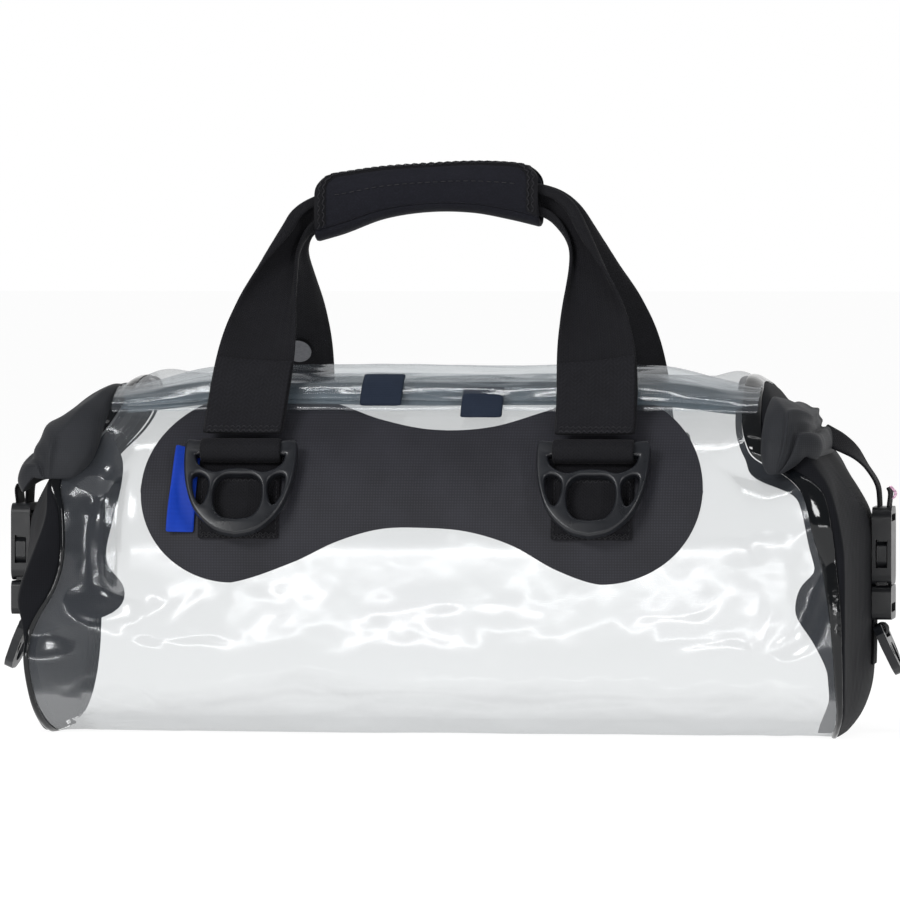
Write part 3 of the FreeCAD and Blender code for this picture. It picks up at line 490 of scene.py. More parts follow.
def section_points(count):
    """Cross-section of the bag as (y, z), evenly spaced, from the bottom middle round by the front."""
    pieces = [DEPTH - BASE, BASE * math.pi / 2, HEIGHT - BASE - SHOULDER, SHOULDER * math.pi / 2, SHOULDER_Y]
    total = sum(pieces)
    points = []
    for index in range(count):
        walk = index / count * 2 * total
        side = -1 if walk < total else 1
        rest = walk if walk < total else 2 * total - walk
        kind = 0
        while kind < 4 and rest > pieces[kind]:
            rest -= pieces[kind]
            kind += 1
        if kind == 0:
            y, z = rest, 0.0
        elif kind == 1:
            y, z = DEPTH - BASE + BASE * math.sin(rest / BASE), BASE - BASE * math.cos(rest / BASE)
        elif kind == 2:
            y, z = DEPTH, BASE + rest
        elif kind == 3:
            turn = rest / SHOULDER
            y, z = SHOULDER_Y + SHOULDER * math.cos(turn), SHOULDER_Z + SHOULDER * math.sin(turn)
        else:
            y, z = SHOULDER_Y - rest, HEIGHT
        points.append((side * y, z))
    return points


def edge(tables, side, y, z):
    """Looks a height up in an end's front table, or at the back in its rear table where it has one."""
    back = smoothstep(-0.03, 0.03, y)
    return mix(curve(z, tables[side]), curve(z, tables.get(2 * side, tables[side])), back)


def end_face(side, y, z):
    """How far an end's domed panel reaches at a place on it."""
    return mix(curve(z, END[side]), edge(RIM, side, y, z), smoothstep(0.008, 0.088, abs(y)))


AROUND = 152                             # points round the bag
ALONG = 96                               # steps of the film along it
CAP_RINGS = 26                           # rings of each end
BAND_RINGS = 4                           # of these, the rings of the welded band
FILM_RINGS = slice(CAP_RINGS, CAP_RINGS + ALONG + 1)
BAND_TURN = 0.16                         # share of an end's rounding that its band takes
DOME = 0.34                              # share of an end's rings that round it off
CAP_MIDDLE = 0.074                       # height that an end's rings shrink to
FILM_MIDDLE_X = 0.178                    # the film's straight half length


def bag_grid():
    """Rings of points from the left end's middle over the film to the right end's middle."""
    section = section_points(AROUND)

    def cap(side):
        made = []
        for index in range(1, CAP_RINGS + 1):
            ring = []
            for y, z in section:
                x0, x1 = edge(WELD, side, y, z), end_face(side, y, z)
                band = min(edge(BAND, side, y, z), max(0.002, (x1 - x0) * 0.8))
                share = min(1.0, index / BAND_RINGS)
                turn, inward = BAND_TURN * share, 0.0
                if index > BAND_RINGS:
                    share = (index - BAND_RINGS) / (CAP_RINGS - BAND_RINGS)
                    turn = BAND_TURN + (1 - BAND_TURN) * min(1.0, share / DOME)
                    inward = max(0.0, (share - 0.22) / 0.78)
                shrink = 1 - inward ** 1.2 * 0.985
                round_in = 1 - 0.05 * turn ** 2
                lift = CAP_MIDDLE + (z * (1 - 0.012 * turn) + 0.0009 * turn - CAP_MIDDLE) * shrink
                if index <= BAND_RINGS:
                    x = x0 + band * share
                else:
                    # the slanted top is followed down to the middle
                    x1 = max(x0 + band + 0.0005, end_face(side, y * round_in * shrink, lift))
                    x = mix(x0 + band, x1, math.sin(min(1.0, share / DOME) * math.pi / 2))
                ring.append(Vector((side * x, y * round_in * shrink, lift)))
            made.append(ring)
        return made

    rings = list(reversed(cap(-1)))
    for index in range(ALONG + 1):
        s = -1 + 2 * index / ALONG
        ring = []
        for y, z in section:
            x = edge(WELD, -1 if s < 0 else 1, y, z)
            if abs(s) <= 0.75:
                x = mix(FILM_MIDDLE_X, x, smoothstep(0.0, 0.75, abs(s)))
            ring.append(Vector((s * x, y, z)))
        rings.append(ring)
    return rings + cap(1)


def carries_patch(x, y, z):
    """1 where patches and webbing lie on the shell, falling to 0 beside them."""
    off = abs(x - CENTRE)
    if y < 0:
        return smoothstep(0.062, 0.074, z) * smoothstep(0.150, 0.130, off) * smoothstep(-0.030, -0.045, y)
    near = smoothstep(0.042, 0.030, abs(off - SPACING))
    return smoothstep(0.072, 0.084, z) * near * smoothstep(0.040, 0.055, y)


def dents(p):
    """Folds and hollows of the slack shell, as a shift of a point."""
    x, y, z = p
    reach = abs(x)
    front = smoothstep(0.0, 0.06, -y)
    rear = smoothstep(0.0, 0.06, y)
    outward = -1 if y < 0 else 1
    shift = Vector((0, 0, 0))
    if x < 0:
        # hollow behind the left end's folded edge, and a fold that runs up from it
        hollow = bell(x, -0.150, 0.014) * smoothstep(0.052, 0.068, z) * smoothstep(0.125, 0.108, z)
        shift.y += 0.011 * front * hollow
        shift.y += 0.006 * front * bell(x, -0.146, 0.012) * bell(z, 0.124, 0.013)
        shift.y -= 0.004 * front * bell(x, -0.183, 0.014) * bell(z, 0.085, 0.030)
        shift.y += 0.006 * front * bell(x, -0.176, 0.013) * bell(z, 0.047, 0.010)
    else:
        # hollow under the right ear, and a slanting fold below it
        shift.y += 0.009 * front * bell(x, 0.155, 0.013) * bell(z, 0.121, 0.009)
        fold = bell(x - 0.35 * (z - 0.06), 0.172, 0.008)
        shift.y += 0.007 * front * fold * smoothstep(0.035, 0.05, z) * smoothstep(0.1, 0.08, z)
        shift.y -= 0.003 * front * bell(x, 0.186, 0.012) * bell(z, 0.10, 0.02)
    shift.y -= 0.012 * rear * bell(reach, 0.160, 0.016) * bell(z, 0.112, 0.016)
    # slack film towards the ends
    slack = smoothstep(0.118, 0.165, reach) * smoothstep(0.195, 0.17, reach)
    shift.y += outward * 0.0009 * slack * wander(x, y, z, 34, 4.0)
    shift.y += outward * 0.0011 * wander(x, y, z * 0.4, 26, 1.0)
    shift.z += 0.0010 * wander(x, y, z, 24, 2.0)
    # loose film behind the closure, and the puffed humps next to the ears
    on_top = smoothstep(0.125, 0.156, z)
    shift.z += 0.0065 * on_top * bell(y, 0.022, 0.034) * smoothstep(0.150, 0.110, reach)
    shift.z += 0.0075 * on_top * bell(y, -0.004, 0.040) * bell(reach, 0.136, 0.013)
    shift *= 1 - carries_patch(x, y, z)
    return shift


CLOTH = {
    "quality": 5, "mass": 0.35, "tension_stiffness": 25, "compression_stiffness": 25, "shear_stiffness": 12,
    "bending_stiffness": 1.6, "tension_damping": 12, "compression_damping": 12, "bending_damping": 2,
    "use_pressure": True, "uniform_pressure_force": 0.8, "shrink_min": -0.003, "vertex_group_mass": "held",
    "pin_stiffness": 1.0,
}
SETTLE_FRAMES = 16


def simulate_shell(item, pinned):
    """Lets the slack shell settle under a little air pressure, held where pieces are fixed to it."""
    group = item.vertex_groups.new(name="held")
    for index, weight in pinned.items():
        group.add([index], weight, "REPLACE")
    rest = [v.co.copy() for v in item.data.vertices]
    cloth = modifier(item, "CLOTH")
    for key, value in CLOTH.items():
        setattr(cloth.settings, key, value)
    cloth.settings.effector_weights.gravity = 0.0
    cloth.collision_settings.use_collision = False
    cloth.collision_settings.use_self_collision = False
    scene = bpy.context.scene
    for step in range(SETTLE_FRAMES):
        scene.frame_set(step + 1)
    graph = bpy.context.evaluated_depsgraph_get()
    settled = [v.co.copy() for v in item.evaluated_get(graph).data.vertices]
    item.modifiers.clear()
    scene.frame_set(1)
    for vertex, start, end in zip(item.data.vertices, rest, settled):
        move = end - start
        # the ends may move less than the middle
        limit = 0.004 - 0.003 * smoothstep(0.150, 0.175, abs(start.x))
        if move.length > limit:
            move = move * (limit / move.length)
        place = start + move
        place.z = max(place.z, FLOOR_GAP)
        vertex.co = place


def settle_shell():
    """The whole shell as an array of rings, dented and settled."""
    points = []
    rings = bag_grid()
    for ring in rings:
        for p in ring:
            moved = p + dents(p)
            moved.z = max(moved.z, FLOOR_GAP)
            points.append(moved)
    faces = grid_faces(len(rings), AROUND, closed=True)
    faces.append(tuple(range(AROUND)))
    faces.append(tuple(range(len(points) - AROUND, len(points)))[::-1])
    shell = new_object("shell", points, faces, FILM)
    pinned = {}
    for index, (x, y, z) in enumerate(points):
        under_roll = abs(x) < 0.150 and -0.062 < y < -0.008 and z > 0.140
        on_floor = z < 0.0015 and abs(x) < 0.15
        end_webbing = abs(x) > 0.180 and abs(y) < 0.030
        under_ear = abs(x) > 0.145 and z > 0.118 and y < 0.03
        if carries_patch(x, y, z) > 0.2 or under_roll or on_floor or end_webbing or under_ear:
            pinned[index] = 1.0
        elif abs(x) > 0.160:
            pinned[index] = 0.25
    simulate_shell(shell, pinned)
    settled = np.array([v.co for v in shell.data.vertices]).reshape(-1, AROUND, 3)
    bpy.data.objects.remove(shell)
    return settled


GRID = settle_shell()


def grid_normals(grid):
    """Outward normals of a grid of rings."""
    around = np.roll(grid, -1, axis=1) - np.roll(grid, 1, axis=1)
    length = np.gradient(grid, axis=0)
    normal = np.cross(around, length)
    normal /= np.maximum(np.linalg.norm(normal, axis=2, keepdims=True), 1e-9)
    middle = np.array([0, 0, HEIGHT / 2])
    return normal * np.sign(np.sum((grid - middle) * normal))


NORMALS = grid_normals(GRID)


def ring_object(name, rows, material, cap_row=None):
    flat = [tuple(p) for row in rows for p in row]
    faces = grid_faces(len(rows), AROUND, closed=True)
    if cap_row is not None:
        faces.append(tuple(range(cap_row * AROUND, (cap_row + 1) * AROUND)))
    return new_object(name, flat, faces, material)


# crease lines of the film as ((x, z) points in mm, height, width in mm)
CREASES = [
    ([(-130, 17), (-118, 11), (-111, 13), (-84, 14.5), (-62, 18.5), (-44, 17), (-18, 18.5), (8, 18),
      (32, 14.5), (60, 15.2), (78, 17.2), (128, 15.8), (153, 17.5), (176, 16)], 2.0, 2.8),
    ([(32, 14.5), (44, 22), (59, 28.5), (84, 28), (104, 29)], 1.0, 2.2),
    ([(-54, 29), (-47, 22), (-40, 17.5)], 1.0, 2.0),
    ([(-146, 51), (-125, 46), (-100, 47), (-86, 45)], 0.9, 3.0),
    ([(-133, 56), (-124, 44), (-114, 38)], 0.8, 2.4),
    ([(-28, 57), (0, 62), (34, 64), (60, 58)], 0.9, 5.0),
    ([(92, 50), (100, 58), (126, 60), (140, 74)], 1.0, 3.6),
    ([(118, 44), (140, 47), (150, 44)], 0.8, 2.8),
    ([(148, 92), (156, 78), (158, 60), (150, 44), (163, 30), (176, 26)], 1.0, 2.8),
    ([(138, 30), (152, 24), (168, 20), (180, 9)], 0.9, 2.4),
    ([(-150, 30), (-138, 22), (-120, 8)], 1.0, 2.6),
    ([(-166, 20), (-152, 26), (-140, 18)], 0.9, 2.2),
    ([(-122, 100), (-130, 86), (-127, 70), (-118, 60)], 0.8, 2.6),
    ([(-126, 150), (-128, 141), (-135, 126), (-147, 112), (-160, 103)], 1.6, 2.6),
    ([(148, 118), (136, 124), (118, 132), (106, 141)], 0.9, 2.6),
    ([(-58, 154), (-30, 149), (0, 147), (30, 149), (52, 154)], 1.2, 3.0),
]


def add_creases(item):
    """Raises thin ridges on the film's front along the crease lines, and finer crinkles at the ends."""
    mesh = item.data
    count = len(mesh.vertices)
    co = np.empty(count * 3)
    normals = np.empty(count * 3)
    mesh.vertices.foreach_get("co", co)
    mesh.vertices.foreach_get("normal", normals)
    co, normals = co.reshape(-1, 3), normals.reshape(-1, 3)
    push = np.zeros(count)
    front = co[:, 1] < -0.02
    for path, height, width in CREASES:
        steps = 60
        line, _ = along([(x * MM, z * MM) for x, z in path], steps)
        near = np.full(count, 1.0)
        where = np.zeros(count)
        for step, point in enumerate(line):
            gap = np.hypot(co[:, 0] - point[0], co[:, 2] - point[1])
            closer = gap < near
            near[closer] = gap[closer]
            where[closer] = step / (steps - 1)
        fade = np.sin(np.pi * np.clip(where, 0.02, 0.98)) ** 0.5
        push += front * fade * height * MM * np.exp(-(near / (width * MM)) ** 2)
    mask = np.array([carries_patch(*p) for p in co])
    crinkle = np.array([wander(*p, 120, 7.0) + wander(*p, 60, 3.0) for p in co])
    ends = np.clip((np.abs(co[:, 0]) - 0.10) / 0.06, 0.12, 1.0)
    push += crinkle * 0.00020 * ends
    co += normals * (push * (1 - mask))[:, None]
    co[:, 2] = np.maximum(co[:, 2], FLOOR_GAP)
    mesh.vertices.foreach_set("co", co.ravel())
    mesh.update()


def make_film():
    film = ring_object("film_body", GRID[FILM_RINGS], FILM)
    subdivide(film)
    apply_modifiers(film)
    add_creases(film)
    link_piece(film, "bag", ["clear_body"])


def make_end(name, side):
    """Matte panel, its glossy welded band, and its edge seen through the film."""
    last = len(GRID) - 1
    order = list(range(CAP_RINGS, -1, -1)) if side < 0 else list(range(last - CAP_RINGS, last + 1))
    rows = GRID[order]
    out = NORMALS[order]
    panel = ring_object(name + "_panel", rows[2:], PANEL, cap_row=len(order) - 3)
    solidify(panel, 0.0010)
    subdivide(panel)
    link_piece(panel, "bag", [name + "_end_panel"])
    lifts = [0.0003, 0.0012, 0.0015, 0.0014, 0.0010]
    band_rows = [rows[k] + out[k] * lifts[k] for k in range(BAND_RINGS + 1)]
    band = ring_object(name + "_weld", band_rows, WELD_GLOSS)
    solidify(band, 0.0004)
    subdivide(band)
    link_piece(band, "bag")
    # the panel's hem lies behind the film, from the weld inwards; under the right ear it is widened into a
    # painted dark reflection of the film's fold
    film, film_out = GRID[FILM_RINGS], NORMALS[FILM_RINGS]
    section = section_points(AROUND)
    flange_rows = []
    steps = 9
    for step in range(steps):
        row = []
        for column, (y, z) in enumerate(section):
            weld = edge(WELD, side, y, z)
            reach = mix(min(curve(z, FLANGE[side]), weld - 0.003), weld - 0.0015, smoothstep(-0.03, 0.0, y))
            x = mix(weld, reach, step / (steps - 1)) / max(weld, 0.1)
            at = side * x * ALONG / 2 + ALONG / 2
            low = int(min(max(at, 0), ALONG - 1))
            share = at - low
            p = film[low, column] * (1 - share) + film[low + 1, column] * share
            n = film_out[low, column] * (1 - share) + film_out[low + 1, column] * share
            row.append(p - n * 0.0014)
        flange_rows.append(row)
    flange = ring_object(name + "_panel_hem", flange_rows, PANEL)
    subdivide(flange)
    link_piece(flange, "bag")


make_film()
for end, side in ENDS.items():
    make_end(end, side)


# ------------------------------------------------------------------- ribbons

def ribbon(name, path, width, material, thickness, across=None, curl=None, count=60, columns=7):
    """A strap along a path. across(t) gives its width direction, curl(t) how far it is rolled up."""
    line, length = along(path, count)
    rows, uvs = [], []
    for index in range(count):
        t = index / (count - 1)
        centre = Vector(line[index])
        ahead = Vector(line[min(index + 1, count - 1)] - line[max(index - 1, 0)]).normalized()
        side = Vector(across(t) if across else (1, 0, 0))
        side = (side - ahead * side.dot(ahead)).normalized()
        face = side.cross(ahead)
        roll = curl(t) if curl else 0.0
        row, uv_row = [], []
        for c in range(columns):
            s = c / (columns - 1) - 0.5
            if abs(roll) > 0.02:
                # an arc round the path's middle, flatter the further it is rolled
                radius = width / roll
                turn = s * roll
                level = math.sin(roll / 2) / (roll / 2)
                flat = 0.62 - 0.20 * smoothstep(2.5, 5.5, abs(roll))
                depth = flat * radius * (level - math.cos(turn))
                p = centre + side * (radius * math.sin(turn)) + face * depth
            else:
                p = centre + side * (s * width)
            row.append(p)
            uv_row.append((s * width, t * length))
        rows.append(row)
        uvs.append(uv_row)
    item = grid_object(name, rows, material, uvs)
    solidify(item, thickness)
    subdivide(item)
    return item


def stitches(name, body, dashes):
    """Threads as short five-sided capsules. dashes is a list of (start, end) points."""
    radius, sides = 0.00028, 5
    made = bmesh.new()
    for start, end in dashes:
        start, end = Vector(start), Vector(end)
        ahead = (end - start).normalized()
        side = ahead.orthogonal().normalized()
        up = ahead.cross(side)
        rings = []
        for share, size in ((0, 0.3), (0.15, 1), (0.85, 1), (1, 0.3)):
            centre = start.lerp(end, share)
            ring = []
            for k in range(sides):
                turn = k * TAU / sides
                out = side * math.cos(turn) + up * math.sin(turn)
                ring.append(made.verts.new(centre + out * radius * size))
            rings.append(ring)
        for a, b in zip(rings, rings[1:]):
            for k in range(sides):
                made.faces.new((a[k], a[(k + 1) % sides], b[(k + 1) % sides], b[k]))
        made.faces.new(rings[0][::-1])
        made.faces.new(rings[-1])
    mesh = bpy.data.meshes.new(name)
    made.to_mesh(mesh)
    made.free()
    mesh.shade_smooth()
    mesh.materials.append(THREAD)
    link_piece(put(name, mesh), body)


def dash_line(points, length, gap):
    """Cuts a line of points into stitches."""
    count = 400
    line, total = along(points, count)
    dashes, walk = [], 0.0
    per = total / (count - 1)
    while walk + length < total:
        dashes.append((line[int(walk / per)], line[min(count - 1, int((walk + length) / per))]))
        walk += length + gap
    return dashes


def zigzag(points, height, pitch, across, count=600):
    """Stitches that go to and fro over a line. across(point) is the direction that they take."""
    line, total = along(points, count)
    steps = int(total / pitch)
    corners = []
    for k in range(steps + 1):
        p = Vector(line[min(count - 1, int(k / steps * (count - 1)))])
        corners.append(p + across(p) * (height * (0.5 if k % 2 else -0.5)))
    return list(zip(corners, corners[1:]))


def upright(_):
    return Vector((0, 0, 1))


# ------------------------------------------------------------------- patches

# the dog-bone's edges between its lobes, as (x, height)
PATCH_TOP = [(-0.062, 0.1535), (-0.043, 0.1505), (-0.0196, 0.1435), (0.005, 0.1393), (0.032, 0.1405),
             (0.0556, 0.1470), (0.066, 0.1510)]
PATCH_FOOT = [(-0.1000, 0.0732), (-0.0865, 0.0710), (-0.0577, 0.0802), (-0.037, 0.0897), (-0.0165, 0.0955),
              (0.004, 0.0962), (0.025, 0.0945), (0.046, 0.0883), (0.0666, 0.0774), (0.087, 0.0710),
              (0.102, 0.0732)]
LOBE_Z = 0.113
PATCH_LIFT = 0.0010                      # the patches' middle over the film
PATCH_CLOTH = 0.0009                     # their thickness


def lobe(x, up):
    """Height of the round lobe's upper or lower edge at x, or of its middle beside it."""
    centre, wide = (-0.0865, 0.0435) if x < 0 else (0.087, 0.0470)
    share = (x - centre) / wide
    if abs(share) > 1:
        return LOBE_Z
    return LOBE_Z + (0.0415 if up else -0.042) * math.sqrt(1 - share * share)


def patch_edges(x):
    """Heights of the front patch's lower and upper edge at x."""
    top = lobe(x, True) if x < -0.070 or x > 0.072 else curve(x, PATCH_TOP)
    for low, high in ((-0.086, -0.060), (0.060, 0.088)):
        if low < x < high:
            share = smoothstep(low, high, x)
            share = share if x < 0 else 1 - share
            top = mix(lobe(x, True), curve(x, PATCH_TOP), share)
    foot = curve(x, PATCH_FOOT) if -0.0865 < x < 0.087 else lobe(x, False)
    return foot, max(top, foot + 0.0005)


def make_front_patch():
    rows, columns = 26, 170

    def closer(index, count):
        """Shares from 0 to 1 that lie closer at both ends."""
        return 0.5 - 0.5 * math.cos(math.pi * index / (count - 1))

    def flat(r, c):
        x = mix(-0.130, 0.134, closer(c, columns))
        return x, mix(*patch_edges(x), closer(r, rows))

    def laid(x, z):
        return on_shell(x * 0.977 + CENTRE, z, PATCH_LIFT + 0.00018 * wander(x, 0, z, 30, 5.0))

    uvs = lay(rows, columns, flat)
    points = [[laid(x, z) for x, z in row] for row in uvs]
    patch = grid_object("front_patch_cloth", points, PATCH, uvs)
    solidify(patch, PATCH_CLOTH)
    modifier(patch, "BEVEL", width=0.0003, segments=2)
    link_piece(patch, "bag", ["front_patch"])


def make_rear_patch(end, side):
    """Small patch with rounded corners under a rear ring."""
    def point(r, c):
        u, v = -1 + 2 * c / 16, -1 + 2 * r / 16
        pull = 1 - 0.16 * (u * v) ** 2
        x, z = CENTRE + SPACING * side + 0.0235 * u * pull, 0.1125 + 0.0295 * v * pull
        return on_shell(x, z, PATCH_LIFT, 1)

    patch = grid_object(f"rear_{end}_patch_cloth", lay(17, 17, point), PATCH)
    solidify(patch, PATCH_CLOTH)
    subdivide(patch)
    link_piece(patch, "bag", [f"rear_{end}_patch"])


make_front_patch()
for end, side in ENDS.items():
    make_rear_patch(end, side)


# -------------------------------------------------- ring webbing, rings, label

RING_Y, RING_Z = 0.0842, 0.13104         # middle of a front ring's bar
WEBBING_WIDE = 0.0375


def make_anchor(face, end):
    """Webbing sewn flat on the patch that turns round the ring's bar."""
    side, x = SIDES[face], CENTRE + SPACING * ENDS[end]
    path = [surface(z, 0.0026) for z in (0.0908, 0.098, 0.106, 0.114)] + [(0.0862, 0.1205), (0.0812, 0.1255)]
    for degrees in (200, 150, 110, 70, 20, -30, -75, -115, -150):
        turn = math.radians(degrees)
        path.append((RING_Y + 0.0050 * math.cos(turn), RING_Z + 0.0050 * math.sin(turn)))
    tape = ribbon(f"{face}_{end}_ring_webbing", [(x, side * y, z) for y, z in path], WEBBING_WIDE, WEBBING,
                  0.0012, count=90, columns=9)
    link_piece(tape, "bag", [f"{face}_{end}_anchor"])
    dashes = []
    low, high = 0.0925, 0.1165
    for z in (low - 0.0005, low + 0.0005, high - 0.0005):
        line = [on_shell(x + s, z, 0.0035, side) for s in (-0.017, 0, 0.017)]
        dashes += zigzag(line, 0.0016, 0.0013, upright)
    for s in (-0.0172, 0.0172):
        dashes += dash_line([on_shell(x + s, z, 0.0034, side) for z in (low, 0.104, high)], 0.0016, 0.0008)
    stitches(f"{face}_{end}_ring_stitches", "bag", dashes)


for face in SIDES:
    for end in ENDS:
        make_anchor(face, end)


RING_LEAN = math.radians(26)
RING_EDGE = 0.0013                       # radius of its rounded edges
# a ring's outlines from its bar's middle, in mm across and down: right halves, and the right window
RING_OUTER = [(0, -3.6), (12, -3.6), (21, -4.2), (24.6, -4.4), (25.8, -1.5), (25.7, 8), (24.2, 18),
              (20.8, 28), (15.5, 35.4), (8.5, 40.6), (0, 42.6)]
RING_GAP = [(0, 3.0), (10, 3.0), (20.2, 3.0), (20.4, 4.4), (19.4, 7.4), (15.8, 10.2), (10.8, 11.6),
            (5.5, 10.2), (0, 9.6)]
RING_EYE = [(0, 13.0), (6.2, 13.2), (9.9, 16.2), (11.2, 22.0), (10.4, 29.0), (6.8, 33.9), (0, 35.2)]
RING_WINDOW = [(14.0, 16.0), (16.0, 13.4), (19.4, 12.4), (21.4, 14.2), (20.9, 20.5), (18.6, 26.2),
               (16.4, 28.0), (14.6, 25.0), (13.6, 20.0)]


def add_outline(data, points):
    """Adds a closed outline, given in mm, to a flat curve."""
    spline = data.splines.new("POLY")
    spline.points.add(len(points) - 1)
    for target, (u, w) in zip(spline.points, points):
        target.co = (u * MM, -w * MM, 0, 1)
    spline.use_cyclic_u = True


def mirrored(half, count):
    """A closed outline from its right half."""
    line, _ = along(half, count)
    right = [tuple(p) for p in line]
    return right + [(-u, w) for u, w in reversed(right[1:-1])]


def make_ring(face, end):
    """Moulded ring: a shield-shaped plate with a bar, a gap, an eye and two windows."""
    side = SIDES[face]
    data = bpy.data.curves.new("ring_outline", "CURVE")
    data.dimensions = "2D"
    data.fill_mode = "BOTH"
    data.extrude = 0.0016
    data.bevel_depth = RING_EDGE
    data.bevel_resolution = 3
    data.offset = -RING_EDGE
    for half, count in ((RING_OUTER, 46), (RING_GAP, 30), (RING_EYE, 26)):
        add_outline(data, mirrored(half, count))
    window = [tuple(p) for p in along(RING_WINDOW, 30, closed=True)[0]]
    add_outline(data, window)
    add_outline(data, [(-u, w) for u, w in reversed(window)])
    flat = put("ring_outline", data)
    mesh = bpy.data.meshes.new_from_object(flat.evaluated_get(bpy.context.evaluated_depsgraph_get()))
    bpy.data.objects.remove(flat)
    # the plate stands up, leans out at the foot and is a little thicker round the eye
    for vertex in mesh.vertices:
        u, w, depth = vertex.co.x, -vertex.co.y, vertex.co.z
        depth *= 1.0 + 0.25 * bell(w, 0.024, 0.012) * bell(u, 0, 0.016)
        y = RING_Y + w * math.sin(RING_LEAN) + depth * math.cos(RING_LEAN)
        z = RING_Z - w * math.cos(RING_LEAN) + depth * math.sin(RING_LEAN)
        vertex.co = (CENTRE + SPACING * ENDS[end] + u, side * y, z)
    mesh.shade_smooth()
    mesh.materials.clear()
    mesh.materials.append(RING)
    ring = put(f"{face}_{end}_shield_ring", mesh)
    if side < 0:
        mesh.flip_normals()
    modifier(ring, "WELD", merge_threshold=0.00002)
    link_piece(ring, f"{face}_{end}_ring_body", [f"{face}_{end}_ring"])


for face in SIDES:
    for end in ENDS:
        make_ring(face, end)


def make_label():
    """Plain label that lies on the front patch beside the left ring, slightly wavy."""
    left, right = [(0.0935, -0.1182), (0.1345, -0.1158)], [(0.0935, -0.1055), (0.1345, -0.1042)]

    def point(r, c):
        z = mix(0.0935, 0.1305, r / 23)
        lift = 0.0030 + 0.0006 * math.sin(r * 0.35 + c * 0.5) + 0.0012 * smoothstep(3, 0, c)
        return on_shell(mix(curve(z, left), curve(z, right), c / 8), z, lift)

    label = grid_object("side_label_cloth", lay(24, 9, point), LABEL)
    solidify(label, 0.0005)
    subdivide(label)
    link_piece(label, "bag", ["side_label"])


make_label()


# -------------------------------------------------------------- handle straps

def strap_points(side):
    """Path of one handle strap from its left foot over the grip to its right foot."""
    left = [(-0.0850, 0.0815, 0.1385), (-0.0848, 0.0735, 0.1470), (-0.0835, 0.0620, 0.1650),
            (-0.0812, 0.0455, 0.1880), (-0.0775, 0.0245, 0.2140), (-0.0735, 0.0110, 0.2290),
            (-0.0665, 0.0055, 0.2380)]
    right = [(0.0770, 0.0815, 0.1385), (0.0768, 0.0735, 0.1470), (0.0758, 0.0620, 0.1650),
             (0.0725, 0.0455, 0.1880), (0.0665, 0.0245, 0.2140), (0.0600, 0.0110, 0.2310),
             (0.0500, 0.0055, 0.2425)]
    grip = [(-0.050, 0.0045, 0.2445), (-0.030, 0.0042, 0.2490), (-0.008, 0.0042, 0.2510),
            (0.018, 0.0042, 0.2500), (0.036, 0.0045, 0.2470)]
    return [(x, side * y, z) for x, y, z in left + grip + right[::-1]]


def strap_curl(t):
    """Rolled up lengthwise inside the wrap, flat at both feet."""
    end = min(t, 1 - t) * 2
    return 0.12 + 5.4 * smoothstep(0.10, 0.66, end)


def strap_across(t):
    """Width direction: along the bag at the feet, turned with the path over the grip."""
    turn = -math.pi / 2 * (smoothstep(0.17, 0.33, t) + smoothstep(0.67, 0.83, t))
    return math.cos(turn), 0, math.sin(turn)


def make_straps():
    for face, side in SIDES.items():
        points = strap_points(side)
        strap = ribbon(face + "_strap", points, WEBBING_WIDE, WEBBING, 0.0017, strap_across,
                       lambda t: -side * strap_curl(t), count=150, columns=13)
        apply_modifiers(strap)
        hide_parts(face + "_handle_strap")
        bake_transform(strap)
        # wider band over each foot
        for end in ENDS:
            foot = points[:4] if end == "left" else points[:-5:-1]
            foot = [Vector(p) + Vector((0, side * 0.0014, 0.0008)) for p in foot]
            top = foot[2].lerp(foot[3], 0.28)
            band = ribbon(f"{face}_{end}_overlay", [foot[0], foot[1], foot[2], top], 0.0362, OVERLAY, 0.0011,
                          curl=lambda t: -side * (0.12 + 0.35 * t), count=26, columns=9)
            apply_modifiers(band)
            link_piece(band, "bag", [f"{face}_{end}_strap_overlay"])
            dashes = []
            for z, y in ((0.1400, 0.0829), (0.1418, 0.0813)):
                line = [(foot[0].x + s, side * y, z) for s in (-0.0165, 0, 0.0165)]
                dashes += zigzag(line, 0.0012, 0.0013, upright)
            stitches(f"{face}_{end}_foot_stitches", "bag", dashes)


make_straps()


# ----------------------------------------------------------------- grip wrap

WRAP_X = -0.0105
WRAP_HALF = 0.0525                       # half length
WRAP_DEPTH = 0.0105                      # half depth
# its upper and lower edge, as (share of the half length, height)
WRAP_TOP = [(-1, 0.2530), (-0.9, 0.2565), (-0.75, 0.2580), (-0.4, 0.2605), (0, 0.2618), (0.4, 0.2628),
            (0.75, 0.2622), (0.9, 0.2605), (1, 0.2570)]
WRAP_FOOT = [(-1, 0.2262), (-0.75, 0.2300), (-0.4, 0.2368), (0, 0.2400), (0.4, 0.2396), (0.75, 0.2362),
             (1, 0.2330)]
TAPE_TURN = 87                           # where the binding runs along the leaf's upper edge, in degrees
TAPE_CORNER = 40                         # and where its rounded corners start


def wrap_point(t, turn, lift=0.0):
    """A point on the padded tube: t along it from -1 to 1, turn in degrees from the front over the top."""
    top, foot = curve(t, WRAP_TOP), curve(t, WRAP_FOOT)
    middle, half = (top + foot) / 2, (top - foot) / 2
    angle = math.radians(turn)
    c, s = math.cos(angle), math.sin(angle)
    y = -(WRAP_DEPTH + lift) * math.copysign(abs(c) ** 0.72, c)
    z = middle + (half + lift) * math.copysign(abs(s) ** 0.86, s)
    bulge = 0.0006 * wander(t * 0.05, y, z, 60, 6.0)
    return Vector((WRAP_X + WRAP_HALF * t, y * (1 + 0.10 * t * t) - bulge, z))


def wrap_span(turn, corner_from, corner_to):
    """Half length of the leaf near its rounded corners."""
    share = (turn - corner_from) / (corner_to - corner_from)
    if share <= 0:
        return 1.0
    return 1.0 - 0.13 * (1 - math.sqrt(max(0.0, 1 - min(1.0, share) ** 2)))


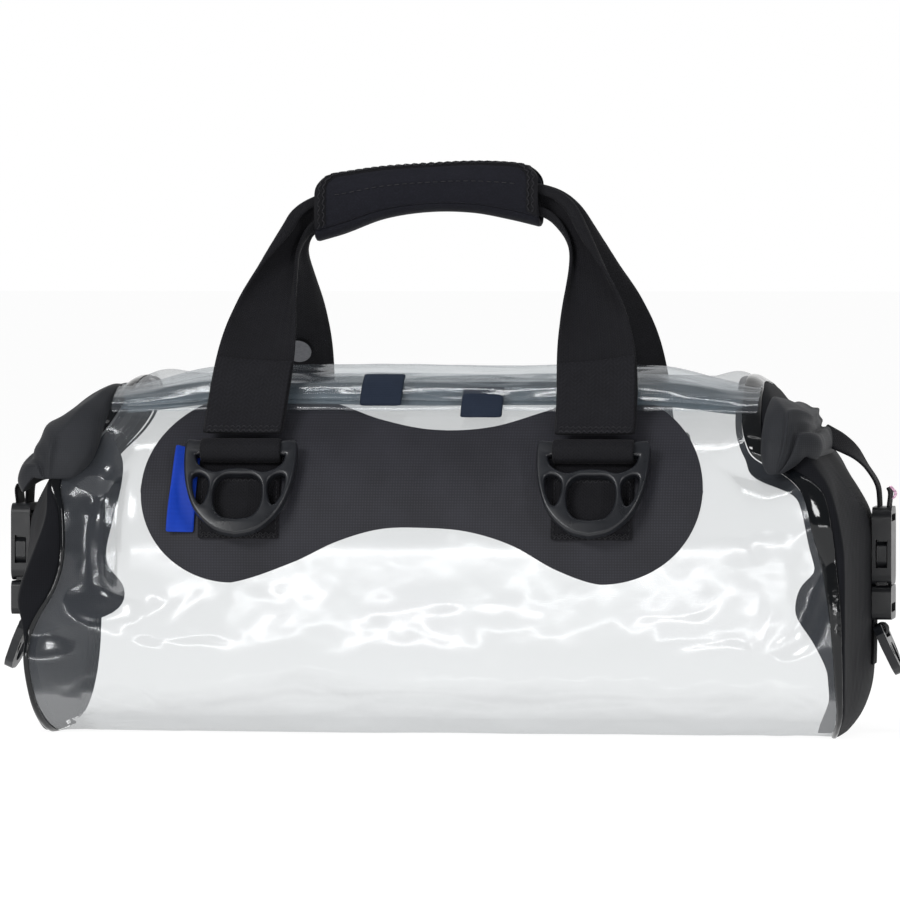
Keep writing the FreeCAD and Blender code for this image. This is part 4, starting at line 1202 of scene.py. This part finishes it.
def make_leaf(name, first, last, body, nodes):
    """Padded leaf of the wrap between two turns."""
    def point(r, c):
        turn = mix(first, last, r / 21)
        return wrap_point((-1 + 2 * c / 60) * wrap_span(turn if first < 90 else 180 - turn, 38, 86), turn)

    leaf = grid_object(name, lay(22, 61, point), NEOPRENE)
    solidify(leaf, 0.0026, -1.0)
    subdivide(leaf)
    apply_modifiers(leaf)
    link_piece(leaf, body, nodes)


def make_binding(name, body, node, rear):
    """Folded tape along a leaf's ends and top edge, with two lines of zigzag."""
    outline = [(-1.0, turn) for turn in np.linspace(-30, TAPE_CORNER, 12)]
    for k in range(1, 13):
        turn = TAPE_CORNER + (TAPE_TURN - TAPE_CORNER) * k / 12
        outline.append((-wrap_span(turn, 38, TAPE_TURN), turn))
    outline += [(t, TAPE_TURN) for t in np.linspace(-0.84, 0.84, 44)]
    outline += [(-t, turn) for t, turn in reversed(outline[:24])]

    def point(t, turn, inset, lift):
        """A place on the tape, inset from 0 at the leaf's edge to 1 at the tape's other edge."""
        pull = 1 if turn < 84 else 0.6 if abs(t) > 0.8 else 0
        turn -= 21 * inset * smoothstep(30, 80, turn)
        return wrap_point(t * (1 - 0.105 * inset * pull), 180 - turn if rear else turn, lift)

    rows = []
    for k in range(7):
        inset = k / 6
        lift = 0.0007 * math.sin(math.pi * min(1.0, inset * 1.15 + 0.12)) ** 0.5
        rows.append([point(t, turn, inset, lift) for t, turn in outline])
    tape = grid_object(name, rows, BINDING)
    solidify(tape, 0.0008)
    subdivide(tape)
    apply_modifiers(tape)
    link_piece(tape, body, [node])
    middle = wrap_point(0, 160 if rear else 20)
    dashes = []
    for inset in (0.42, 0.80):
        line = [point(t, turn, inset, 0.0012) for t, turn in outline[::2]]
        dashes += zigzag(line, 0.0012, 0.0019, lambda p: (middle - p).normalized(), 500)
    stitches(name + "_stitches", body, dashes)


def make_wrap():
    make_leaf("wrap_front", -38, 88, "wrap_flap", ["wrap_front_leaf"])
    make_leaf("wrap_rear", 92, 322, "carry_handle", ["wrap_rear_leaf"])
    make_binding("wrap_front_tape", "wrap_flap", "wrap_front_binding", False)
    make_binding("wrap_rear_tape", "carry_handle", "wrap_rear_binding", True)
    line = [wrap_point(t, 12 + 6 * t * t, 0.0004) for t in np.linspace(-0.82, 0.82, 30)]
    stitches("wrap_quilt_stitches", "wrap_flap", dash_line(line, 0.0024, 0.0012))
    for name, body, node, side in (("wrap_hooks", "wrap_flap", "wrap_hook_strip", -1),
                                   ("wrap_loops", "carry_handle", "wrap_loop_strip", 1)):
        def point(r, c):
            t = -0.8 + 1.6 * c / 39
            z = curve(t, WRAP_TOP) - 0.0042 - 0.0042 * r / 4
            return WRAP_X + WRAP_HALF * t, side * 0.0013, z

        strip = grid_object(name, lay(5, 40, point), HOOK)
        solidify(strip, 0.0016)
        apply_modifiers(strip)
        link_piece(strip, body, [node])


make_wrap()


# ------------------------------------------------------------- rolled closure

# one turn of the rolled film in mm, and of each closure track in metres, as (y, z)
ROLL_TURN = [(-58.5, 148.8), (-57.5, 154.5), (-51, 161.8), (-38, 168.0), (-22, 170.6), (-11, 168.6),
             (-8, 164.5), (-14, 161.2), (-29, 158.6), (-43, 155.2), (-52, 150.6)]
TRACK_TURN = [(-0.0525, 0.1516), (-0.0490, 0.1560), (-0.0450, 0.1592), (-0.0415, 0.1610),
              (-0.0405, 0.1594), (-0.0450, 0.1566), (-0.0492, 0.1528), (-0.0512, 0.1508)]
ROLL_TURNS = 1.35


def roll_end(x):
    """0 along the roll's middle, rising to 1 at its ends, where it is flatter and lower."""
    return smoothstep(0.098, 0.150, abs(x))


def make_roll():
    """The rolled-down film with its two tracks."""
    points = 48
    loop, _ = along([(y * MM, z * MM) for y, z in ROLL_TURN], points, closed=True)
    middle = loop.mean(axis=0)
    count, columns = int(points * ROLL_TURNS), 110

    def point(c, k):
        x = mix(-0.150, 0.149, c / (columns - 1))
        end = roll_end(x)
        y, z = loop[k % points]
        inward = 0.30 * k / count
        y, z = mix(y, middle[0], inward), mix(z, middle[1], inward * 1.6)
        wave = 0.0012 * wander(x, k * 0.02, 0, 22, 3.0) + 0.0006 * wander(x, k * 0.03, 0, 60, 8.0)
        z = mix(z, middle[1] - 0.001, 0.42 * end) - 0.0055 * end + wave
        return x, mix(y, middle[0], 0.16 * end) - 0.004 * end, z

    roll = grid_object("closure_film", lay(columns, count, point), ROLLED)
    subdivide(roll)
    link_piece(roll, "bag", ["closure_roll"])
    for name, node, shift in (("closure_track_lower", "closure_track_front", 0.0),
                              ("closure_track_upper", "closure_track_rear", 0.0026)):
        rows = []
        for c in range(80):
            x = mix(-0.147, 0.146, c / 79)
            drop, wave = 0.0045 * roll_end(x), 0.0006 * wander(x, shift * 90, 0, 18, 2.0)
            rows.append([(x, y + shift, z + shift * 0.55 - drop + wave) for y, z in TRACK_TURN])
        track = grid_object(name, rows, TRACK, closed=True)
        subdivide(track)
        link_piece(track, "bag", [node])


def make_pull_tabs():
    for name, node, x, path in (
            ("pull_tab_upper", "front_pull_tab", -0.0245,
             [(-0.043, 0.1642), (-0.0505, 0.1598), (-0.0573, 0.1535), (-0.0585, 0.1500)]),
            ("pull_tab_lower", "rear_pull_tab", 0.0225,
             [(-0.0490, 0.1585), (-0.0560, 0.1530), (-0.0600, 0.1482), (-0.0625, 0.1450)])):
        tab = ribbon(name, [(x, y - 0.0016, z + 0.0010) for y, z in path], 0.0195, TAB, 0.0012, count=16)
        link_piece(tab, "bag", [node])


make_roll()
make_pull_tabs()


# --------------------------------------------------------------- folded ears

# the ear's outline seen from the front, as (height, inner x, outer x, thickness), from its foot upwards
EAR = {
    1: [(0.1205, 0.1560, 0.1620, 0.0030), (0.1255, 0.1530, 0.1700, 0.0075), (0.1320, 0.1520, 0.1740, 0.0095),
        (0.1400, 0.1520, 0.1755, 0.0100), (0.1470, 0.1530, 0.1750, 0.0090), (0.1530, 0.1550, 0.1750, 0.0085),
        (0.1572, 0.1560, 0.1750, 0.0085)],
    -1: [(0.1170, 0.1640, 0.1800, 0.0030), (0.1240, 0.1560, 0.1860, 0.0070), (0.1320, 0.1530, 0.1880, 0.0090),
         (0.1400, 0.1520, 0.1870, 0.0095), (0.1470, 0.1510, 0.1850, 0.0095), (0.1530, 0.1500, 0.1840, 0.0090),
         (0.1572, 0.1500, 0.1840, 0.0085)],
}


def lid(x, z):
    """A height, held below the shell's slanted end."""
    return min(z, HEIGHT - max(0.0, abs(x) - 0.149) * 1.22)


def make_ear(end, side):
    """Folded-down end of the closure: one thick pleated form from the end's front over its top."""
    stations = EAR[side]
    outline = []
    for z, inner, outer, thick in stations:
        y = -surface(z)[0]
        outline.append((y, z, inner, outer, thick))
    for y in (-0.018, -0.004, 0.010, 0.021, 0.0245):
        fade = 1.0 if y < 0.02 else 0.35
        outline.append((y, HEIGHT, stations[-1][1], stations[-1][2], stations[-1][3] * fade))
    count, columns = 44, 30
    smooth, _ = along(outline, count)
    rows = []
    for r, (y, z, inner, outer, thick) in enumerate(smooth):
        up, low = [], []
        v = r / (count - 1)
        for c in range(columns):
            u = c / (columns - 1)
            x = mix(inner, outer, u)
            base_z = lid(x, z)
            on_slope = smoothstep(0.0, 0.012, z - base_z)
            turn = math.asin(min(1.0, max(0.0, (z - SHOULDER_Z) / SHOULDER)))
            radial = Vector((0, -math.cos(turn), math.sin(turn)))
            sloped = Vector((side * 0.78, -0.12 if y < -0.02 else 0, 0.62))
            normal = radial.lerp(sloped, on_slope).normalized()
            swell = max(0.0, 1 - abs(2 * u - 1) ** 3.5) ** 0.5 * max(0.0, 1 - abs(2 * v - 1) ** 8) ** 0.5
            # two pleats run across the folded end
            pleat = 0.0026 * bell(u + 0.35 * v, 0.62, 0.045) - 0.0036 * bell(u + 0.25 * v, 0.78, 0.032)
            ripple = 0.0012 * wander(x, y, z, 70, 5.0 + side)
            lift = 0.0012 + thick * swell + (pleat + ripple) * swell
            base = Vector((side * x, y, base_z))
            up.append(base + normal * lift)
            low.append(base + normal * 0.0006)
        rows.append(up + low[::-1])
    ear = grid_object(end + "_ear", rows, EAR_CLOTH, closed=True)
    edit = bmesh.new()
    edit.from_mesh(ear.data)
    bmesh.ops.holes_fill(edit, edges=[e for e in edit.edges if e.is_boundary], sides=0)
    bmesh.ops.recalc_face_normals(edit, faces=edit.faces)
    edit.to_mesh(ear.data)
    edit.free()
    ear.data.shade_smooth()
    subdivide(ear)
    link_piece(ear, "bag", [end + "_folded_ear"])


for end, side in ENDS.items():
    make_ear(end, side)


# ------------------------------------------------------- end buckles' webbing

# paths of the end webbing from the ear to the buckle and from the panel to the buckle, as (x, z)
END_UPPER = [(0.1730, 0.1385), (0.1800, 0.1345), (0.1880, 0.1290), (0.1945, 0.1215), (0.1990, 0.1140),
             (0.2000, 0.1060), (0.2000, 0.1005), (0.2019, 0.0990), (0.2040, 0.1005), (0.2045, 0.1050),
             (0.2050, 0.1105), (0.2040, 0.1130)]
END_LOWER = [(0.1975, 0.0310), (0.1977, 0.0400), (0.1978, 0.0520), (0.1985, 0.0585), (0.2005, 0.0600),
             (0.2030, 0.0600), (0.2040, 0.0575), (0.2030, 0.0545), (0.2000, 0.0530)]
END_WIDE = 0.0195


def make_end_webbing(name, side):
    """Webbing to the upper and lower half of an end's buckle, and the loop that holds its ring."""
    def end_ribbon(part, path, width, thickness, count, columns=7, lean=0.0):
        """Webbing across the bag's middle plane; lean tips its upper end."""
        def across(t):
            tip = lean * smoothstep(0.42, 0.10, t)
            return side * 0.34 * tip, 1, 0.28 * tip
        return ribbon(name + part, [(side * x, 0, z) for x, z in path], width, WEBBING, thickness,
                      across, count=count, columns=columns)

    strap = end_ribbon("_upper_webbing", END_UPPER, END_WIDE, 0.0013, 80, lean=1.0)
    apply_modifiers(strap)
    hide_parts(name + "_upper_strap")
    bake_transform(strap)
    tape = end_ribbon("_lower_webbing", END_LOWER, END_WIDE, 0.0012, 60)
    link_piece(tape, "bag", [name + "_anchor_strap"])
    loop = []
    for k in range(13):
        turn = math.radians(180 - 300 * k / 12)
        loop.append((0.2007 + 0.0028 * math.cos(turn), 0.0470 + 0.0028 * math.sin(turn)))
    link_piece(end_ribbon("_ring_loop", loop, 0.0185, 0.0009, 40, 5), "bag")


for end, side in ENDS.items():
    make_end_webbing(end, side)


def make_tag():
    """Small plain tag on the right buckle's webbing."""
    def point(r, c):
        x = 0.2056 + 0.0015 * math.sin(r * 0.5) + 0.0006 * c / 6
        return x, mix(-0.0026, 0.0026, c / 6), mix(0.1075, 0.1135, r / 8)

    tag = grid_object("end_tag_cloth", lay(9, 7, point), TAG)
    solidify(tag, 0.0006)
    subdivide(tag)
    link_piece(tag, "right_socket", ["end_tag"])


make_tag()


# ----------------------------------------------- hard pieces keep the CAD form

def dress(node, material):
    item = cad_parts[node]
    item.data.materials.clear()
    item.data.materials.append(material)


for face in SIDES:
    dress(face + "_strap_snaps", METAL)
for end in ENDS:
    dress(end + "_end_ring", RING)
    for part in ("female_buckle", "male_buckle", "front_prong", "rear_prong"):
        dress(f"{end}_{part}", BUCKLE)


# ------------------------------------------------------------ floor and light

WHITE = (1, 1, 1, 1)
# name, place, size, power in watts
LAMPS = [
    ("key", (-1.2, -1.9, 1.3), (0.9, 0.5), 30),
    ("fill", (1.7, -1.5, 0.7), (0.3, 0.9), 12),
    ("top", (0.0, -0.1, 1.8), (1.8, 0.4), 14),
    ("strip", (0.0, -0.35, 1.7), (1.4, 0.05), 1.6),
    ("low", (-0.3, -1.9, 0.10), (1.3, 0.09), 6),
]
AIM = Vector((0, 0, 0.08))


def make_floor():
    """White paper that glows a little, so that it stays white under the bag."""
    half = 40.0
    paper = Nodes("floor")
    paper.shade(Base_Color=(0.16, 0.16, 0.16, 1), Roughness=0.9, Emission_Color=WHITE,
                Emission_Strength=0.93, Specular_IOR_Level=0.0)
    floor = new_object("floor", [(-half, -half, 0), (half, -half, 0), (half, half, 0), (-half, half, 0)],
                       [(0, 1, 2, 3)], paper.material, smooth=False)


def make_world():
    """White surroundings, darker in front of the bag than behind it."""
    scene = bpy.context.scene
    world = scene.world or bpy.data.worlds.new("world")
    scene.world = world
    world.use_nodes = True
    tree = world.node_tree
    background = tree.nodes["Background"]
    place = tree.nodes.new("ShaderNodeTexCoord")
    split = tree.nodes.new("ShaderNodeSeparateXYZ")
    ramp = tree.nodes.new("ShaderNodeMapRange")
    for key, value in {"From Min": 0.30, "From Max": 0.93, "To Min": 0.16, "To Max": 1.0}.items():
        ramp.inputs[key].default_value = value
    tree.links.new(place.outputs["Generated"], split.inputs[0])
    tree.links.new(split.outputs[1], ramp.inputs["Value"])
    tree.links.new(ramp.outputs[0], background.inputs["Strength"])
    background.inputs["Color"].default_value = WHITE
    scene.view_settings.view_transform = "Standard"


def make_lamps():
    for name, where, size, power in LAMPS:
        data = bpy.data.lights.new(name, "AREA")
        data.shape = "RECTANGLE"
        data.size, data.size_y = size
        data.energy = power
        lamp = put(name, data)
        lamp.location = where
        lamp.rotation_mode = "QUATERNION"
        lamp.rotation_quaternion = (AIM - Vector(where)).to_track_quat("-Z", "Y")
        lamp.visible_camera = False
        # seen in the film, the wide top lamp would whiten both shoulders; the narrow strip stands in for it
        lamp.visible_glossy = name != "top"


make_floor()
make_world()
make_lamps()
